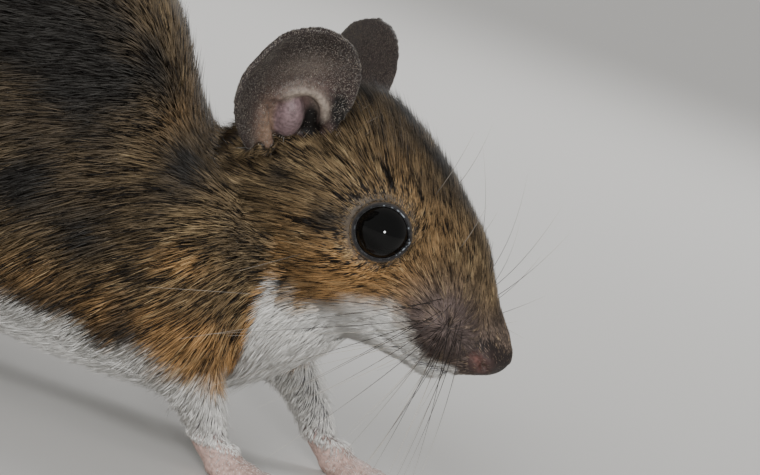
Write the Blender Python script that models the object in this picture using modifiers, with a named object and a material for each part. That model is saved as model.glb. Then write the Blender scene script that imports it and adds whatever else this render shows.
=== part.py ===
"""A field mouse (wood mouse) crouching with its head low, life size, as a still museum model.

X runs forward along the body, Y to the animal's left and Z up. The soles and the tail lie on z = 0.
The body is built whole, out to the tips of its coat, and then parted by thin cuts into the pieces
that a person would name. Sizes are in millimetres and become metres where a mesh is made.
"""

import math

import bmesh
import bpy
import numpy as np
from mathutils import Matrix, Vector

MM = 0.001

# The middle of the body on the floor, and the sides of the boxes that cut it
MIDDLE = (-60.0, 0.0)
BIG_BOX = 300.0
SHORT_BOX = 90.0

# Gaps and facets
GAP = 0.3
BODY_VOXEL = 0.55
HEAD_VOXEL = 0.34
PAW_VOXEL = 0.2
BODY_TRIANGLES = 3500
EAR_TRIANGLES = 400
FOREPAW_TRIANGLES = 315
HINDFOOT_TRIANGLES = 400

# Head, in its own frame: x from the nose tip back, z up from the nose
HEAD_PITCH = math.radians(25)
HEAD_YAW = math.radians(-9)
NOSE_TIP = (0.0, -4.6, 17.7)
HEAD_WAIST = 0.42
HEAD_POWER = 2.15
HEAD_STATIONS = (
    # x, top, bottom, half width
    (0.3, 0.1, -1.6, 0.5),
    (-0.7, 0.9, -3.5, 1.9),
    (-2.6, 1.7, -6.1, 3.3),
    (-4.8, 3.1, -7.3, 4.4),
    (-7.4, 4.9, -8.2, 5.3),
    (-10.4, 6.0, -9.4, 6.2),
    (-14.0, 7.1, -10.2, 7.2),
    (-18.0, 7.7, -10.4, 8.1),
    (-22.0, 7.6, -10.2, 8.6),
    (-25.5, 4.8, -9.6, 8.0),
    (-28.5, -1.0, -8.0, 5.5),
    (-29.5, -3.0, -6.0, 2.0),
)

# Trunk, in the world frame
TRUNK_WAIST = 0.42
TRUNK_POWER = 2.2
TRUNK_STATIONS = (
    # x, top, bottom, half width
    (-11.5, 18.0, 14.0, 2.0),
    (-14.5, 22.0, 10.6, 6.0),
    (-18.5, 24.0, 7.4, 8.8),
    (-23.0, 24.8, 5.2, 10.8),
    (-28.0, 25.4, 4.2, 12.4),
    (-31.5, 28.2, 3.9, 13.5),
    (-34.2, 32.8, 3.8, 14.3),
    (-38.0, 37.0, 3.8, 15.0),
    (-44.0, 40.0, 4.0, 15.8),
    (-52.0, 41.0, 4.2, 16.5),
    (-60.0, 39.0, 4.2, 16.9),
    (-68.0, 33.5, 4.2, 16.0),
    (-74.0, 25.8, 5.0, 12.8),
    (-78.0, 18.5, 7.0, 8.0),
    (-79.6, 14.0, 10.0, 2.0),
)

# Eye balls, in the head's frame
EYE_RADIUS = 2.4
EYE_CENTRE = (-13.9, 5.6, -0.05)

# Ears, in the head's frame: a root, the way up the ear and the way that its hollow faces
EAR_ROOT = (-25.3, 7.0, -0.6)
EAR_UP = {"right": (-0.292, 0.615, 0.732), "left": (-0.38, 0.54, 0.75)}
EAR_FACING = (0.843, 0.527, -0.106)
EAR_HEIGHT = 12.3
EAR_HALF_WIDTH = 6.1
EAR_WALL = 0.75
EAR_WIDEST = 0.5
EAR_ROOT_WIDTH = 0.6
EAR_CURL_ROOT = 1.3
EAR_CURL_TIP = 0.62
EAR_LEAN = 0.4

# Limbs: joints and radii in the world frame, listed for the right side and the left
SHOULDER_RADII = (8.2, 6.0, 9.5)
SHOULDER_CENTRES = {"right": (-30.5, -8.6, 15.0), "left": (-27.0, 8.2, 15.0)}
ELBOW_RADII = (5.0, 4.2, 4.6)
FOREARMS = {
    "right": ((-26.4, -10.0, 10.0, 4.0), (-23.0, -9.8, 6.6, 2.4), (-20.6, -9.5, 3.0, 1.6)),
    "left": ((-20.6, 8.4, 10.4, 3.7), (-15.6, 8.0, 7.0, 2.3), (-12.0, 7.6, 3.0, 1.6)),
}
THIGH_RADII = (12.0, 7.0, 12.0)
THIGH_CENTRE = (-60.0, 11.6, 16.5)
KNEE_RADII = (6.5, 5.0, 6.0)
KNEE_CENTRE = (-54.0, 13.6, 9.6)
SHANK = ((-55.5, 13.8, 8.0, 4.4), (-60.0, 13.6, 5.2, 3.1), (-64.8, 12.8, 3.0, 2.0))

# Paws: the wrist or heel on the floor, the way that each points, and the height of its cut
WRISTS = {"right": (-20.6, -9.5), "left": (-11.8, 7.6)}
FOREPAW_TURN = {"right": math.radians(-5), "left": math.radians(3)}
WRIST_HEIGHT = 3.0
HEEL = (-66.0, 12.6)
HINDFOOT_TURN = math.radians(7)
ANKLE_HEIGHT = 3.2
FORETOES = (
    # start across, length, spread in degrees
    (1.25, 3.2, 24),
    (0.45, 4.2, 8),
    (-0.4, 4.2, -7),
    (-1.2, 3.0, -24),
)
HINDTOES = (
    # start along, start across, length, spread in degrees
    (12.9, 1.1, 5.2, 11),
    (12.9, 0.0, 5.8, 0),
    (12.9, -1.1, 5.2, -11),
    (9.4, 1.5, 3.6, 26),
    (9.8, -1.5, 3.6, -24),
)

# Tail: its line over the floor, with the radius at each point
TAIL_PATH = (
    (-72.0, 0.0, 15.0, 3.6),
    (-78.5, 0.3, 10.4, 2.5),
    (-84.5, 0.9, 5.0, 1.9),
    (-91.0, 2.0, 1.45, 1.7),
    (-104.0, 6.4, 1.3, 1.55),
    (-117.0, 14.0, 1.1, 1.35),
    (-127.0, 24.5, 0.92, 1.15),
    (-134.0, 38.0, 0.74, 0.95),
    (-137.0, 50.5, 0.48, 0.65),
)
TAIL_CUTS = (0.40, 0.70)

# Cuts that part the head from the neck and the neck from the trunk: a point and the way forward
NAPE = (-20.6, 0.0, 19.4)
NAPE_WAY = (0.665, 0.0, 0.745)
COLLAR = (-25.2, 0.0, 18.0)
COLLAR_WAY = (0.875, 0.0, 0.484)

# Eggs that part the legs from the trunk
FORELEG_SPACE = (4.6, 4.4, 8.6)
HINDLEG_SPACE = (13.2, 7.0, 13.8)


def new_collection(name):
    made = bpy.data.collections.new(name)
    bpy.context.scene.collection.children.link(made)
    return made


def clear_scene():
    for obj in list(bpy.data.objects):
        bpy.data.objects.remove(obj, do_unlink=True)


def coat_material(name, colour, roughness):
    made = bpy.data.materials.new(name)
    made.use_nodes = True
    shader = made.node_tree.nodes["Principled BSDF"]
    shader.inputs["Base Color"].default_value = (*colour, 1.0)
    shader.inputs["Roughness"].default_value = roughness
    shader.inputs["Metallic"].default_value = 0.0
    made.diffuse_color = (*colour, 1.0)
    return made


def add_object(name, mesh, collection):
    obj = bpy.data.objects.new(name, mesh)
    collection.objects.link(obj)
    return obj


def object_from_bmesh(name, bm, collection):
    mesh = bpy.data.meshes.new(name)
    bm.to_mesh(mesh)
    bm.free()
    return add_object(name, mesh, collection)


def settled(obj, name=None):
    """Replaces an object by what its modifiers make of it, as a plain mesh in the world frame."""
    graph = bpy.context.evaluated_depsgraph_get()
    mesh = bpy.data.meshes.new_from_object(obj.evaluated_get(graph))
    mesh.transform(obj.matrix_world)
    collection = obj.users_collection[0]
    name = name or obj.name
    bpy.data.objects.remove(obj, do_unlink=True)
    made = add_object(name, mesh, collection)
    made.name = name
    return made


def smooth_steps(rows, per_row):
    """Rows of numbers joined by a Catmull-Rom curve, with per_row steps from each row to the next."""
    rows = np.array(rows, float)
    padded = np.vstack([2 * rows[0] - rows[1], rows, 2 * rows[-1] - rows[-2]])
    out = []
    for i in range(len(rows) - 1):
        a, b, c, d = padded[i : i + 4]
        for k in range(per_row):
            t = k / per_row
            cubic = 2 * b + (c - a) * t + (2 * a - 5 * b + 4 * c - d) * t**2 + (3 * b - a - 3 * c + d) * t**3
            out.append(cubic / 2)
    out.append(rows[-1])
    return np.array(out)


def loft(name, stations, waist, power, frame, collection, sides=36, per_station=5):
    """A ball whose rings are moved out to upright superellipse sections along x."""
    table = smooth_steps(stations, per_station)
    last = len(table) - 1
    bm = bmesh.new()
    bmesh.ops.create_uvsphere(bm, u_segments=sides, v_segments=last, radius=1.0)
    for v in bm.verts:
        ring = math.acos(max(-1.0, min(1.0, v.co.z))) / math.pi * last
        x, top, bottom, half = table[min(last, max(0, round(ring)))]
        middle = bottom + waist * (top - bottom)
        around = math.atan2(v.co.y, v.co.x)
        at_pole = abs(v.co.z) > 1 - 1e-6
        across = math.copysign(abs(math.cos(around)) ** (2 / power), math.cos(around))
        rise = math.copysign(abs(math.sin(around)) ** (2 / power), math.sin(around))
        reach = top - middle if rise > 0 else middle - bottom
        if at_pole:
            across, rise = 0.0, 0.0
        v.co = frame @ (Vector((x, across * half, middle + rise * reach)) * MM)
    bmesh.ops.recalc_face_normals(bm, faces=bm.faces)
    return object_from_bmesh(name, bm, collection)


def ball(name, centre, radii, frame, collection, turn=None, segments=32):
    """An ellipsoid at centre, turned about itself and then set in frame."""
    bm = bmesh.new()
    bmesh.ops.create_uvsphere(bm, u_segments=segments, v_segments=segments // 2, radius=1.0)
    place = frame @ Matrix.Translation(Vector(centre) * MM)
    if turn is not None:
        place = place @ turn
    place = place @ Matrix.Diagonal((*[r * MM for r in radii], 1.0))
    bmesh.ops.transform(bm, matrix=place, verts=bm.verts)
    bmesh.ops.recalc_face_normals(bm, faces=bm.faces)
    return object_from_bmesh(name, bm, collection)


def limb(name, joints, frame, collection, per_joint=4, sides=3):
    """A round tube through joints of (x, y, z, radius), with a ball at each end."""
    table = smooth_steps(joints, per_joint)
    curve = bpy.data.curves.new(name, "CURVE")
    curve.dimensions = "3D"
    curve.bevel_depth = MM
    curve.bevel_resolution = sides
    curve.use_fill_caps = True
    spline = curve.splines.new("POLY")
    spline.points.add(len(table) - 1)
    for point, row in zip(spline.points, table):
        place = frame @ (Vector(row[:3]) * MM)
        point.co = (*place, 1.0)
        point.radius = row[3]
    obj = bpy.data.objects.new(name, curve)
    collection.objects.link(obj)
    bpy.context.view_layer.update()
    tube = settled(obj)
    bm = bmesh.new()
    bm.from_mesh(tube.data)
    bmesh.ops.remove_doubles(bm, verts=bm.verts, dist=1e-7)
    bmesh.ops.recalc_face_normals(bm, faces=bm.faces)
    bm.to_mesh(tube.data)
    bm.free()
    return tube


def join(name, pieces, collection):
    bm = bmesh.new()
    for piece in pieces:
        bm.from_mesh(piece.data)
    for piece in pieces:
        bpy.data.objects.remove(piece, do_unlink=True)
    return object_from_bmesh(name, bm, collection)


def fused(name, pieces, voxel, smoothing, triangles, collection):
    """Pieces that overlap, made one skin, smoothed and thinned to about so many triangles."""
    obj = join(name, pieces, collection)
    remesh = obj.modifiers.new("one skin", "REMESH")
    remesh.mode = "VOXEL"
    remesh.voxel_size = voxel * MM
    relax = obj.modifiers.new("soft joins", "SMOOTH")
    relax.factor = 0.5
    relax.iterations = smoothing
    obj = settled(obj)
    if triangles:
        thin = obj.modifiers.new("few facets", "DECIMATE")
        faces = sum(len(p.vertices) - 2 for p in obj.data.polygons)
        thin.ratio = triangles / faces
        obj = settled(obj)
    return obj


def grown(name, obj, margin, collection):
    """A copy of obj pushed out all round, for cutting a neighbour that keeps a gap."""
    made = add_object(name, obj.data.copy(), collection)
    push = made.modifiers.new("margin", "DISPLACE")
    push.strength = margin * MM
    push.mid_level = 0.0
    return settled(made)


def cut(obj, cutter, operation="DIFFERENCE"):
    step = obj.modifiers.new(operation.lower(), "BOOLEAN")
    step.object = cutter
    step.operation = operation
    step.solver = "EXACT"
    cutter.hide_render = True
    cutter.display_type = "WIRE"
    bpy.context.view_layer.update()
    return settled(obj)


def largest_piece(obj):
    """Keeps the biggest connected shell of a mesh and drops crumbs that a cut left."""
    bm = bmesh.new()
    bm.from_mesh(obj.data)
    bmesh.ops.triangulate(bm, faces=bm.faces)
    left = set(bm.verts)
    shells = []
    while left:
        stack = [left.pop()]
        shell = list(stack)
        while stack:
            for edge in stack.pop().link_edges:
                for v in edge.verts:
                    if v in left:
                        left.remove(v)
                        stack.append(v)
                        shell.append(v)
        shells.append(shell)
    shells.sort(key=len)
    crumbs = [v for shell in shells[:-1] for v in shell]
    bmesh.ops.delete(bm, geom=crumbs, context="VERTS")
    bm.to_mesh(obj.data)
    bm.free()
    return obj


def half_space(name, point, normal, collection, size):
    """A big box whose face lies at point and which fills the side that normal points away from."""
    bm = bmesh.new()
    bmesh.ops.create_cube(bm, size=size * MM)
    turn = Vector(normal).normalized().to_track_quat("Z", "Y").to_matrix().to_4x4()
    centre = Vector(point) * MM - Vector(normal).normalized() * size * MM / 2
    bmesh.ops.transform(bm, matrix=Matrix.Translation(centre) @ turn, verts=bm.verts)
    return object_from_bmesh(name, bm, collection)


def moved_along(point, normal, distance):
    return Vector(point) + Vector(normal).normalized() * distance


def head_frame():
    turn = Matrix.Rotation(HEAD_YAW, 4, "Z") @ Matrix.Rotation(HEAD_PITCH, 4, "Y")
    return Matrix.Translation(Vector(NOSE_TIP) * MM) @ turn


def head_masses(frame, tools):
    """The head's loft, with whisker pads, cheeks, brows, chin and nose pad on it."""
    pieces = [loft("head_form", HEAD_STATIONS, HEAD_WAIST, HEAD_POWER, frame, tools)]
    pieces.append(ball("nose_pad", (0.1, 0.0, -0.9), (0.9, 1.15, 0.95), frame, tools))
    pieces.append(ball("chin", (-5.0, 0.0, -6.2), (3.0, 2.1, 1.2), frame, tools))
    for side in (1, -1):
        pieces.append(ball("whisker_pad", (-3.6, side * 2.0, -2.4), (3.5, 2.35, 2.8), frame, tools))
        pieces.append(ball("cheek", (-16.8, side * 4.2, -4.4), (7.4, 3.7, 4.8), frame, tools))
        pieces.append(ball("brow", (-15.6, side * 4.6, 2.7), (4.6, 1.9, 2.6), frame, tools))
    return pieces


def trunk_masses(tools):
    """The trunk's loft, with the shoulders, elbows, thighs and knees that bulge from it."""
    world = Matrix.Identity(4)
    pieces = [loft("trunk_form", TRUNK_STATIONS, TRUNK_WAIST, TRUNK_POWER, world, tools)]
    haunch = (("thigh", THIGH_CENTRE, THIGH_RADII), ("knee", KNEE_CENTRE, KNEE_RADII))
    for side, mirror in (("left", 1), ("right", -1)):
        for name, (x, y, z), radii in haunch:
            pieces.append(ball(name, (x, mirror * y, z), radii, world, tools))
        pieces.append(ball("shoulder", SHOULDER_CENTRES[side], SHOULDER_RADII, world, tools))
        pieces.append(ball("elbow", FOREARMS[side][0][:3], ELBOW_RADII, world, tools))
    return pieces


def lower_limbs(tools):
    """The four thin lower limbs, down to where the paws begin."""
    world = Matrix.Identity(4)
    pieces = [limb("forearm", FOREARMS[side], world, tools) for side in ("left", "right")]
    for mirror in (1, -1):
        pieces.append(limb("shank", [(x, mirror * y, z, r) for x, y, z, r in SHANK], world, tools))
    return pieces


def ear_surface(t, s):
    """A point of the pinna, in mm: t runs from root to tip, s from the rear edge to the front one."""
    if t > EAR_WIDEST:
        width = math.sqrt(max(0.0, 1 - ((t - EAR_WIDEST) / (1 - EAR_WIDEST)) ** 2))
    else:
        rise = max(0.0, t) / EAR_WIDEST
        width = EAR_ROOT_WIDTH + (1 - EAR_ROOT_WIDTH) * math.sin(rise * math.pi / 2)
    half = EAR_HALF_WIDTH * width
    curl = EAR_CURL_ROOT + (EAR_CURL_TIP - EAR_CURL_ROOT) * min(1.0, max(0.0, t) / 0.75) ** 0.7
    radius = half / curl
    across = radius * math.sin(curl * s)
    out = radius * (1 - math.cos(curl * s)) - EAR_LEAN * math.sin(math.pi * t)
    return across, out, EAR_HEIGHT * t


def ear_axes(side, mirror):
    """The ear's own axes in the head's frame: across, facing and up."""
    up = Vector(EAR_UP[side])
    up.y *= mirror
    facing = Vector(EAR_FACING)
    facing.y *= mirror
    up.normalize()
    facing = (facing - facing.dot(up) * up).normalized()
    across = facing.cross(up) * mirror
    return across, facing, up


def ear(name, side, mirror, frame, collection):
    """A cupped sheet from a grid, given a wall by Solidify and rounded by a voxel skin."""
    bm = bmesh.new()
    bmesh.ops.create_grid(bm, x_segments=24, y_segments=24, size=1.0)
    across, facing, up = ear_axes(side, mirror)
    root = Vector((EAR_ROOT[0], mirror * EAR_ROOT[1], EAR_ROOT[2]))
    for v in bm.verts:
        x, y = v.co.x, v.co.y
        t = (y + 1) / 2
        t = 0.97 * t - 0.12 * (1 - t)
        a, out, h = ear_surface(t, x)
        v.co = frame @ ((root + across * a + facing * out + up * h) * MM)
    obj = object_from_bmesh(name, bm, collection)
    wall = obj.modifiers.new("wall", "SOLIDIFY")
    wall.thickness = EAR_WALL * MM
    wall.offset = 0.0
    skin = obj.modifiers.new("rounded rim", "REMESH")
    skin.mode = "VOXEL"
    skin.voxel_size = 0.2 * MM
    relax = obj.modifiers.new("soft rim", "SMOOTH")
    relax.factor = 0.5
    relax.iterations = 3
    obj = settled(obj)
    thin = obj.modifiers.new("few facets", "DECIMATE")
    thin.ratio = EAR_TRIANGLES / sum(len(p.vertices) - 2 for p in obj.data.polygons)
    return settled(obj)


def toe(start, length, spread, radius, frame, tools, clawed=True):
    """One toe with its claw: it runs forward from start, turned out by spread."""
    x, y, z = start
    ahead = Vector((math.cos(spread), math.sin(spread), 0.0))
    base = Vector((x, y, z))
    knuckle = base + ahead * length * 0.45 + Vector((0, 0, 0.35))
    pad = base + ahead * length * 0.88 + Vector((0, 0, -0.15))
    tip = base + ahead * length + Vector((0, 0, -0.1))
    claw = base + ahead * (length + 0.9) + Vector((0, 0, -0.35))
    rows = [(*base, radius), (*knuckle, radius * 0.95), (*pad, radius * 1.05), (*tip, radius * 0.7)]
    nail = [(*(tip - ahead * 0.4), radius * 0.55), (*(tip + ahead * 0.5), 0.36), (*claw, 0.26)]
    pieces = [limb("toe", rows, frame, tools)]
    if clawed:
        pieces.append(limb("claw", nail, frame, tools))
    return pieces


def forepaw(name, side, collection, tools):
    """A fore paw: wrist, palm and four toes, with the stub of a thumb on its inner side."""
    x, y = WRISTS[side]
    frame = Matrix.Translation(Vector((x, y, 0.0)) * MM) @ Matrix.Rotation(FOREPAW_TURN[side], 4, "Z")
    pieces = [limb("wrist", ((-1.6, 0, 4.6, 1.7), (0.4, 0, 2.6, 1.5), (2.0, 0, 1.3, 1.3)), frame, tools)]
    pieces.append(ball("palm", (2.9, 0, 0.9), (2.7, 1.8, 1.1), frame, tools))
    mirror = 1 if side == "left" else -1
    for across, length, spread in FORETOES:
        start = (3.9, mirror * across, 0.62)
        pieces += toe(start, length, mirror * math.radians(spread), 0.55, frame, tools)
    inner = -mirror
    pieces += toe((1.8, inner * 1.3, 0.7), 1.5, inner * math.radians(50), 0.5, frame, tools, clawed=False)
    return fused(name, pieces, PAW_VOXEL, 2, FOREPAW_TRIANGLES, collection)


def hindfoot(name, side, collection, tools):
    """A hind foot: ankle, long sole and five toes."""
    mirror = 1 if side == "left" else -1
    x, y = HEEL
    frame = Matrix.Translation(Vector((x, mirror * y, 0.0)) * MM)
    frame = frame @ Matrix.Rotation(mirror * HINDFOOT_TURN, 4, "Z")
    pieces = [limb("ankle", ((3.4, 0, 5.0, 2.0), (1.4, 0, 3.2, 1.9), (0.4, 0, 1.8, 1.6)), frame, tools)]
    sole = ((0.2, 0, 1.2, 1.5), (4.0, 0, 1.15, 1.4), (8.5, 0, 1.1, 1.35), (12.0, 0, 1.05, 1.3))
    pieces.append(limb("sole", sole, frame, tools))
    pieces.append(ball("ball_of_foot", (11.6, 0, 0.85), (2.8, 2.05, 1.1), frame, tools))
    for along, across, length, spread in HINDTOES:
        start = (along, mirror * across, 0.68)
        pieces += toe(start, length, mirror * math.radians(spread), 0.58, frame, tools)
    return fused(name, pieces, PAW_VOXEL, 2, HINDFOOT_TRIANGLES, collection)


def tail_lengths(collection, tools, rump):
    """The tail as one tube, laid on the floor, then parted into three lengths."""
    table = smooth_steps(TAIL_PATH, 3)
    whole = limb("tail", TAIL_PATH, Matrix.Identity(4), tools, per_joint=3, sides=1)
    lengths = []
    shares = (0.0, *TAIL_CUTS, 1.0)
    for name, first, last in zip(("tail_base", "tail_middle", "tail_tip"), shares, shares[1:]):
        piece = add_object(name, whole.data.copy(), collection)
        for share, way in ((first, 1), (last, -1)):
            if share in (0.0, 1.0):
                continue
            spot = round(share * (len(table) - 1))
            along = Vector(table[spot + 1][:3]) - Vector(table[spot - 1][:3])
            edge = moved_along(table[spot][:3], along, way * GAP / 2)
            piece = cut(piece, half_space(f"{name}_end", edge, along * way, tools, SHORT_BOX))
        if name == "tail_base":
            piece = cut(piece, rump)
        lengths.append(largest_piece(piece))
    bpy.data.objects.remove(whole, do_unlink=True)
    return lengths


def claim_egg(centre, radii, turn, margin, tools):
    """An egg that is margin larger all round, about itself at centre."""
    grown_radii = [r + margin for r in radii]
    return ball("leg_space", centre, grown_radii, Matrix.Identity(4), tools, turn=turn, segments=14)


def leg_claims(margin, tools):
    """The space that each leg's flesh fills: an egg round the forearm and one round the thigh."""
    claims = {}
    for side, mirror in (("right", -1), ("left", 1)):
        elbow = Vector(FOREARMS[side][0][:3])
        wrist = Vector(FOREARMS[side][-1][:3])
        along = (wrist - elbow).normalized()
        turn = along.to_track_quat("Z", "Y").to_matrix().to_4x4()
        centre = elbow.lerp(wrist, 0.55) + Vector((0, mirror * 0.8, 0))
        claims[f"foreleg_{side}"] = claim_egg(centre, FORELEG_SPACE, turn, margin, tools)
        x, y, z = THIGH_CENTRE
        centre = (x + 0.5, mirror * (y + 4.2), z - 4.5)
        claims[f"hindleg_{side}"] = claim_egg(centre, HINDLEG_SPACE, None, margin, tools)
    return claims


def part_body(body, frame, collection, tools):
    """The whole body cut into head, neck, trunk and legs."""
    nodes = {}
    inside = leg_claims(0.0, tools)
    outside = leg_claims(GAP, tools)
    for name, claim in inside.items():
        leg = cut(add_object(name, body.data.copy(), collection), claim, "INTERSECT")
        height = WRIST_HEIGHT if name.startswith("foreleg") else ANKLE_HEIGHT
        end = (*MIDDLE, height + GAP / 2)
        leg = cut(leg, half_space(f"{name}_end", end, (0, 0, 1), tools, BIG_BOX))
        nodes[name] = largest_piece(leg)
    rest = body
    for claim in outside.values():
        rest = cut(rest, claim)
    nape_back = [-c for c in NAPE_WAY]
    collar_back = [-c for c in COLLAR_WAY]
    cuts = {
        "head": ((NAPE, NAPE_WAY),),
        "neck": ((NAPE, nape_back), (COLLAR, COLLAR_WAY)),
        "trunk": ((COLLAR, collar_back),),
    }
    for name, planes in cuts.items():
        piece = add_object(name, rest.data.copy(), collection)
        for point, kept in planes:
            edge = Vector(point) + Vector(kept).normalized() * GAP / 2
            piece = cut(piece, half_space(f"{name}_end", edge, kept, tools, BIG_BOX))
        nodes[name] = largest_piece(piece)
    for claim in inside.values():
        bpy.data.objects.remove(claim, do_unlink=True)
    bpy.data.objects.remove(rest, do_unlink=True)
    return nodes


def build():
    clear_scene()
    parts = new_collection("field_mouse")
    tools = new_collection("cutters")
    frame = head_frame()

    brown = coat_material("agouti_coat", (0.13, 0.085, 0.05), 0.8)
    skin = coat_material("ear_skin", (0.20, 0.13, 0.11), 0.6)
    paw_skin = coat_material("paw_skin", (0.40, 0.27, 0.23), 0.6)
    dark_eye = coat_material("dark_eye", (0.004, 0.004, 0.004), 0.08)

    head = fused("head_mass", head_masses(frame, tools), HEAD_VOXEL, 8, 0, tools)
    trunk = fused("trunk_mass", trunk_masses(tools), BODY_VOXEL, 40, 0, tools)
    whole = [head, trunk, *lower_limbs(tools)]
    body = fused("body", whole, HEAD_VOXEL, 8, BODY_TRIANGLES, tools)

    eyes = []
    for side, mirror in (("left", 1), ("right", -1)):
        centre = (EYE_CENTRE[0], mirror * EYE_CENTRE[1], EYE_CENTRE[2])
        eyes.append(ball(f"eye_{side}", centre, (EYE_RADIUS,) * 3, frame, parts, segments=14))
        socket = ball("socket", centre, (EYE_RADIUS + GAP,) * 3, frame, tools, segments=20)
        body = cut(body, socket)

    margin = grown("body_margin", body, GAP, tools)
    ears = []
    for side, mirror in (("left", 1), ("right", -1)):
        ears.append(largest_piece(cut(ear(f"ear_{side}", side, mirror, frame, parts), margin)))
    tail = tail_lengths(parts, tools, margin)
    nodes = part_body(body, frame, parts, tools)

    paws = []
    floor = half_space("floor", (*MIDDLE, 0), (0, 0, 1), tools, BIG_BOX)
    for side in ("left", "right"):
        for name, make, height in (("forepaw", forepaw, WRIST_HEIGHT), ("hindfoot", hindfoot, ANKLE_HEIGHT)):
            paw = make(f"{name}_{side}", side, parts, tools)
            end = (*MIDDLE, height - GAP / 2)
            top = half_space("paw_top", end, (0, 0, -1), tools, BIG_BOX)
            paws.append(largest_piece(cut(cut(paw, top), floor)))
    tail = [largest_piece(cut(piece, floor)) for piece in tail]

    for obj in [nodes[n] for n in nodes] + ears + eyes + paws + tail:
        obj.data.shade_smooth()
        obj.data.set_sharp_from_angle(angle=math.radians(50))
        if obj in ears:
            obj.data.materials.append(skin)
        elif obj in eyes:
            obj.data.materials.append(dark_eye)
        elif obj in paws or obj in tail:
            obj.data.materials.append(paw_skin)
        else:
            obj.data.materials.append(brown)
    return parts


def stand_on_origin(parts):
    """Parents every piece to one empty, set so that the box's bottom centre is the world's origin."""
    corners = np.array([v.co[:] for obj in parts.objects for v in obj.data.vertices])
    low, high = corners.min(0), corners.max(0)
    empty = bpy.data.objects.new("field_mouse_origin", None)
    parts.objects.link(empty)
    empty.location = (-(low[0] + high[0]) / 2, -(low[1] + high[1]) / 2, -low[2])
    for obj in parts.objects:
        if obj is not empty:
            obj.parent = empty


stand_on_origin(build())
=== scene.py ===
"""A field mouse (wood mouse) crouching with its head low, life size, as a museum model.

One skin replaces the solids of flesh. It lies under their faces by the depth of the coat, and the coat,
made of thin solid tufts, grows back out to them. Eyes, claws and whiskers are pieces of their own.
"""

import math

import bpy
import numpy as np
from mathutils import Matrix, Vector
from mathutils.bvhtree import BVHTree


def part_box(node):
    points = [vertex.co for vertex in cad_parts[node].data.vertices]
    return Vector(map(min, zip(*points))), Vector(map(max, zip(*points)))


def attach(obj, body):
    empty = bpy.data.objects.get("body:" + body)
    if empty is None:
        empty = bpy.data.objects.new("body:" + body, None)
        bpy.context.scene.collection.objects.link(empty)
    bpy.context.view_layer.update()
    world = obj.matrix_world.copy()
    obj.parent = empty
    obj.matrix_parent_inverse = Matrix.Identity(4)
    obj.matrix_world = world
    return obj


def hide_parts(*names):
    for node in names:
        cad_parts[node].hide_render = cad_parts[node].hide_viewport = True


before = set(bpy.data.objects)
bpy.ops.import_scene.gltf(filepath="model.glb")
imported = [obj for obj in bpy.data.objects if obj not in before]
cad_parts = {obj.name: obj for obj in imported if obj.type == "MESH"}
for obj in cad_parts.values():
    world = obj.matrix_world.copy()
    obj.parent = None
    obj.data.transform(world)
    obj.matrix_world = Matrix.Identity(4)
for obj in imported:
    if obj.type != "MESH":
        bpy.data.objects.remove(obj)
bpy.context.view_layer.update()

MM = 0.001

# The head's turn and, in its frame, millimetres back from the nose tip: the eye and the ear's root
HEAD_YAW = math.radians(-9)
HEAD_PITCH = math.radians(25)
EYE = (-13.9, 5.6, -0.05)
EYE_RADIUS = 2.4
EYE_AXIS = (0.18, 1.0, 0.12)
EYE_OPENING = 62.0
EYE_CORNER = 23.0
EAR_ROOT = (-25.3, 7.0, -0.6)
EAR_UP = {"right": (-0.292, 0.615, 0.732), "left": (-0.38, 0.54, 0.75)}
EAR_FACING = (0.843, 0.527, -0.106)
EAR_HEIGHT = 12.3
EAR_HALF_WIDTH = 6.1
EAR_WALL = 0.55

# Paws, in the body's frame: wrist or heel, the way that each points, and each toe's start, length and spread
WRISTS = {"right": (-20.6, -9.5), "left": (-11.8, 7.6)}
FOREPAW_TURN = {"right": -5.0, "left": 3.0}
HEEL = (-66.0, 12.6)
HINDFOOT_TURN = 7.0
FORETOES = ((3.9, 1.25, 3.2, 24), (3.9, 0.45, 4.2, 8), (3.9, -0.4, 4.2, -7), (3.9, -1.2, 3.0, -24))
HINDTOES = (
    (12.9, 1.1, 5.2, 11),
    (12.9, 0.0, 5.8, 0),
    (12.9, -1.1, 5.2, -11),
    (9.4, 1.5, 3.6, 26),
    (9.8, -1.5, 3.6, -24),
)
# How high over the floor the toes' middles are
FORETOE_HEIGHT, HINDTOE_HEIGHT = 0.62, 0.68

# The body's frame: millimetres with x back from the nose, y across from the middle and z up
NOSE_TIP = (0.0, -4.6, 17.7)
NAPE = (-20.6, 0.0, 19.4)
NAPE_WAY = (0.665, 0.0, 0.745)
TAIL_ROOT = (-79.0, 0.3, 10.4)
# How much further forward the left fore leg stands than the right one
LEFT_LEAD = 4.5

FLESH = ("head", "neck", "trunk", "foreleg_left", "foreleg_right", "hindleg_left", "hindleg_right")
PAWS = ("forepaw_left", "forepaw_right", "hindfoot_left", "hindfoot_right")
TAIL = ("tail_base", "tail_middle", "tail_tip")
EARS = ("ear_left", "ear_right")
SIDES = (("left", 1.0), ("right", -1.0))

# The skin's making, in mm: how far the flesh, and then paws and tail, are grown to close the cuts between
# solids, and the grids that they are fused on. The shares are of the facets that are kept
FLESH_GROWTH = 0.25
FINE_GROWTH = 0.16
FLESH_VOXEL = 0.5
SKIN_VOXEL = 0.28
TRUNK_SHARE = 0.16
TAIL_SHARE = 0.5


def middle(node):
    low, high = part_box(node)
    return (low + high) / 2


HEAD_TURN = Matrix.Rotation(HEAD_YAW, 4, "Z") @ Matrix.Rotation(HEAD_PITCH, 4, "Y")
BETWEEN_EYES = (middle("eye_left") + middle("eye_right")) / 2
NOSE = BETWEEN_EYES - HEAD_TURN @ (Vector((EYE[0], 0.0, EYE[2])) * MM)
HEAD_AXES = np.array(HEAD_TURN.to_3x3())
SHIFT = NOSE - Vector(NOSE_TIP) * MM


def in_body(points):
    """Row-frame metres to millimetres in the body's frame."""
    return (np.asarray(points, float) - np.array(SHIFT)) / MM


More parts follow.
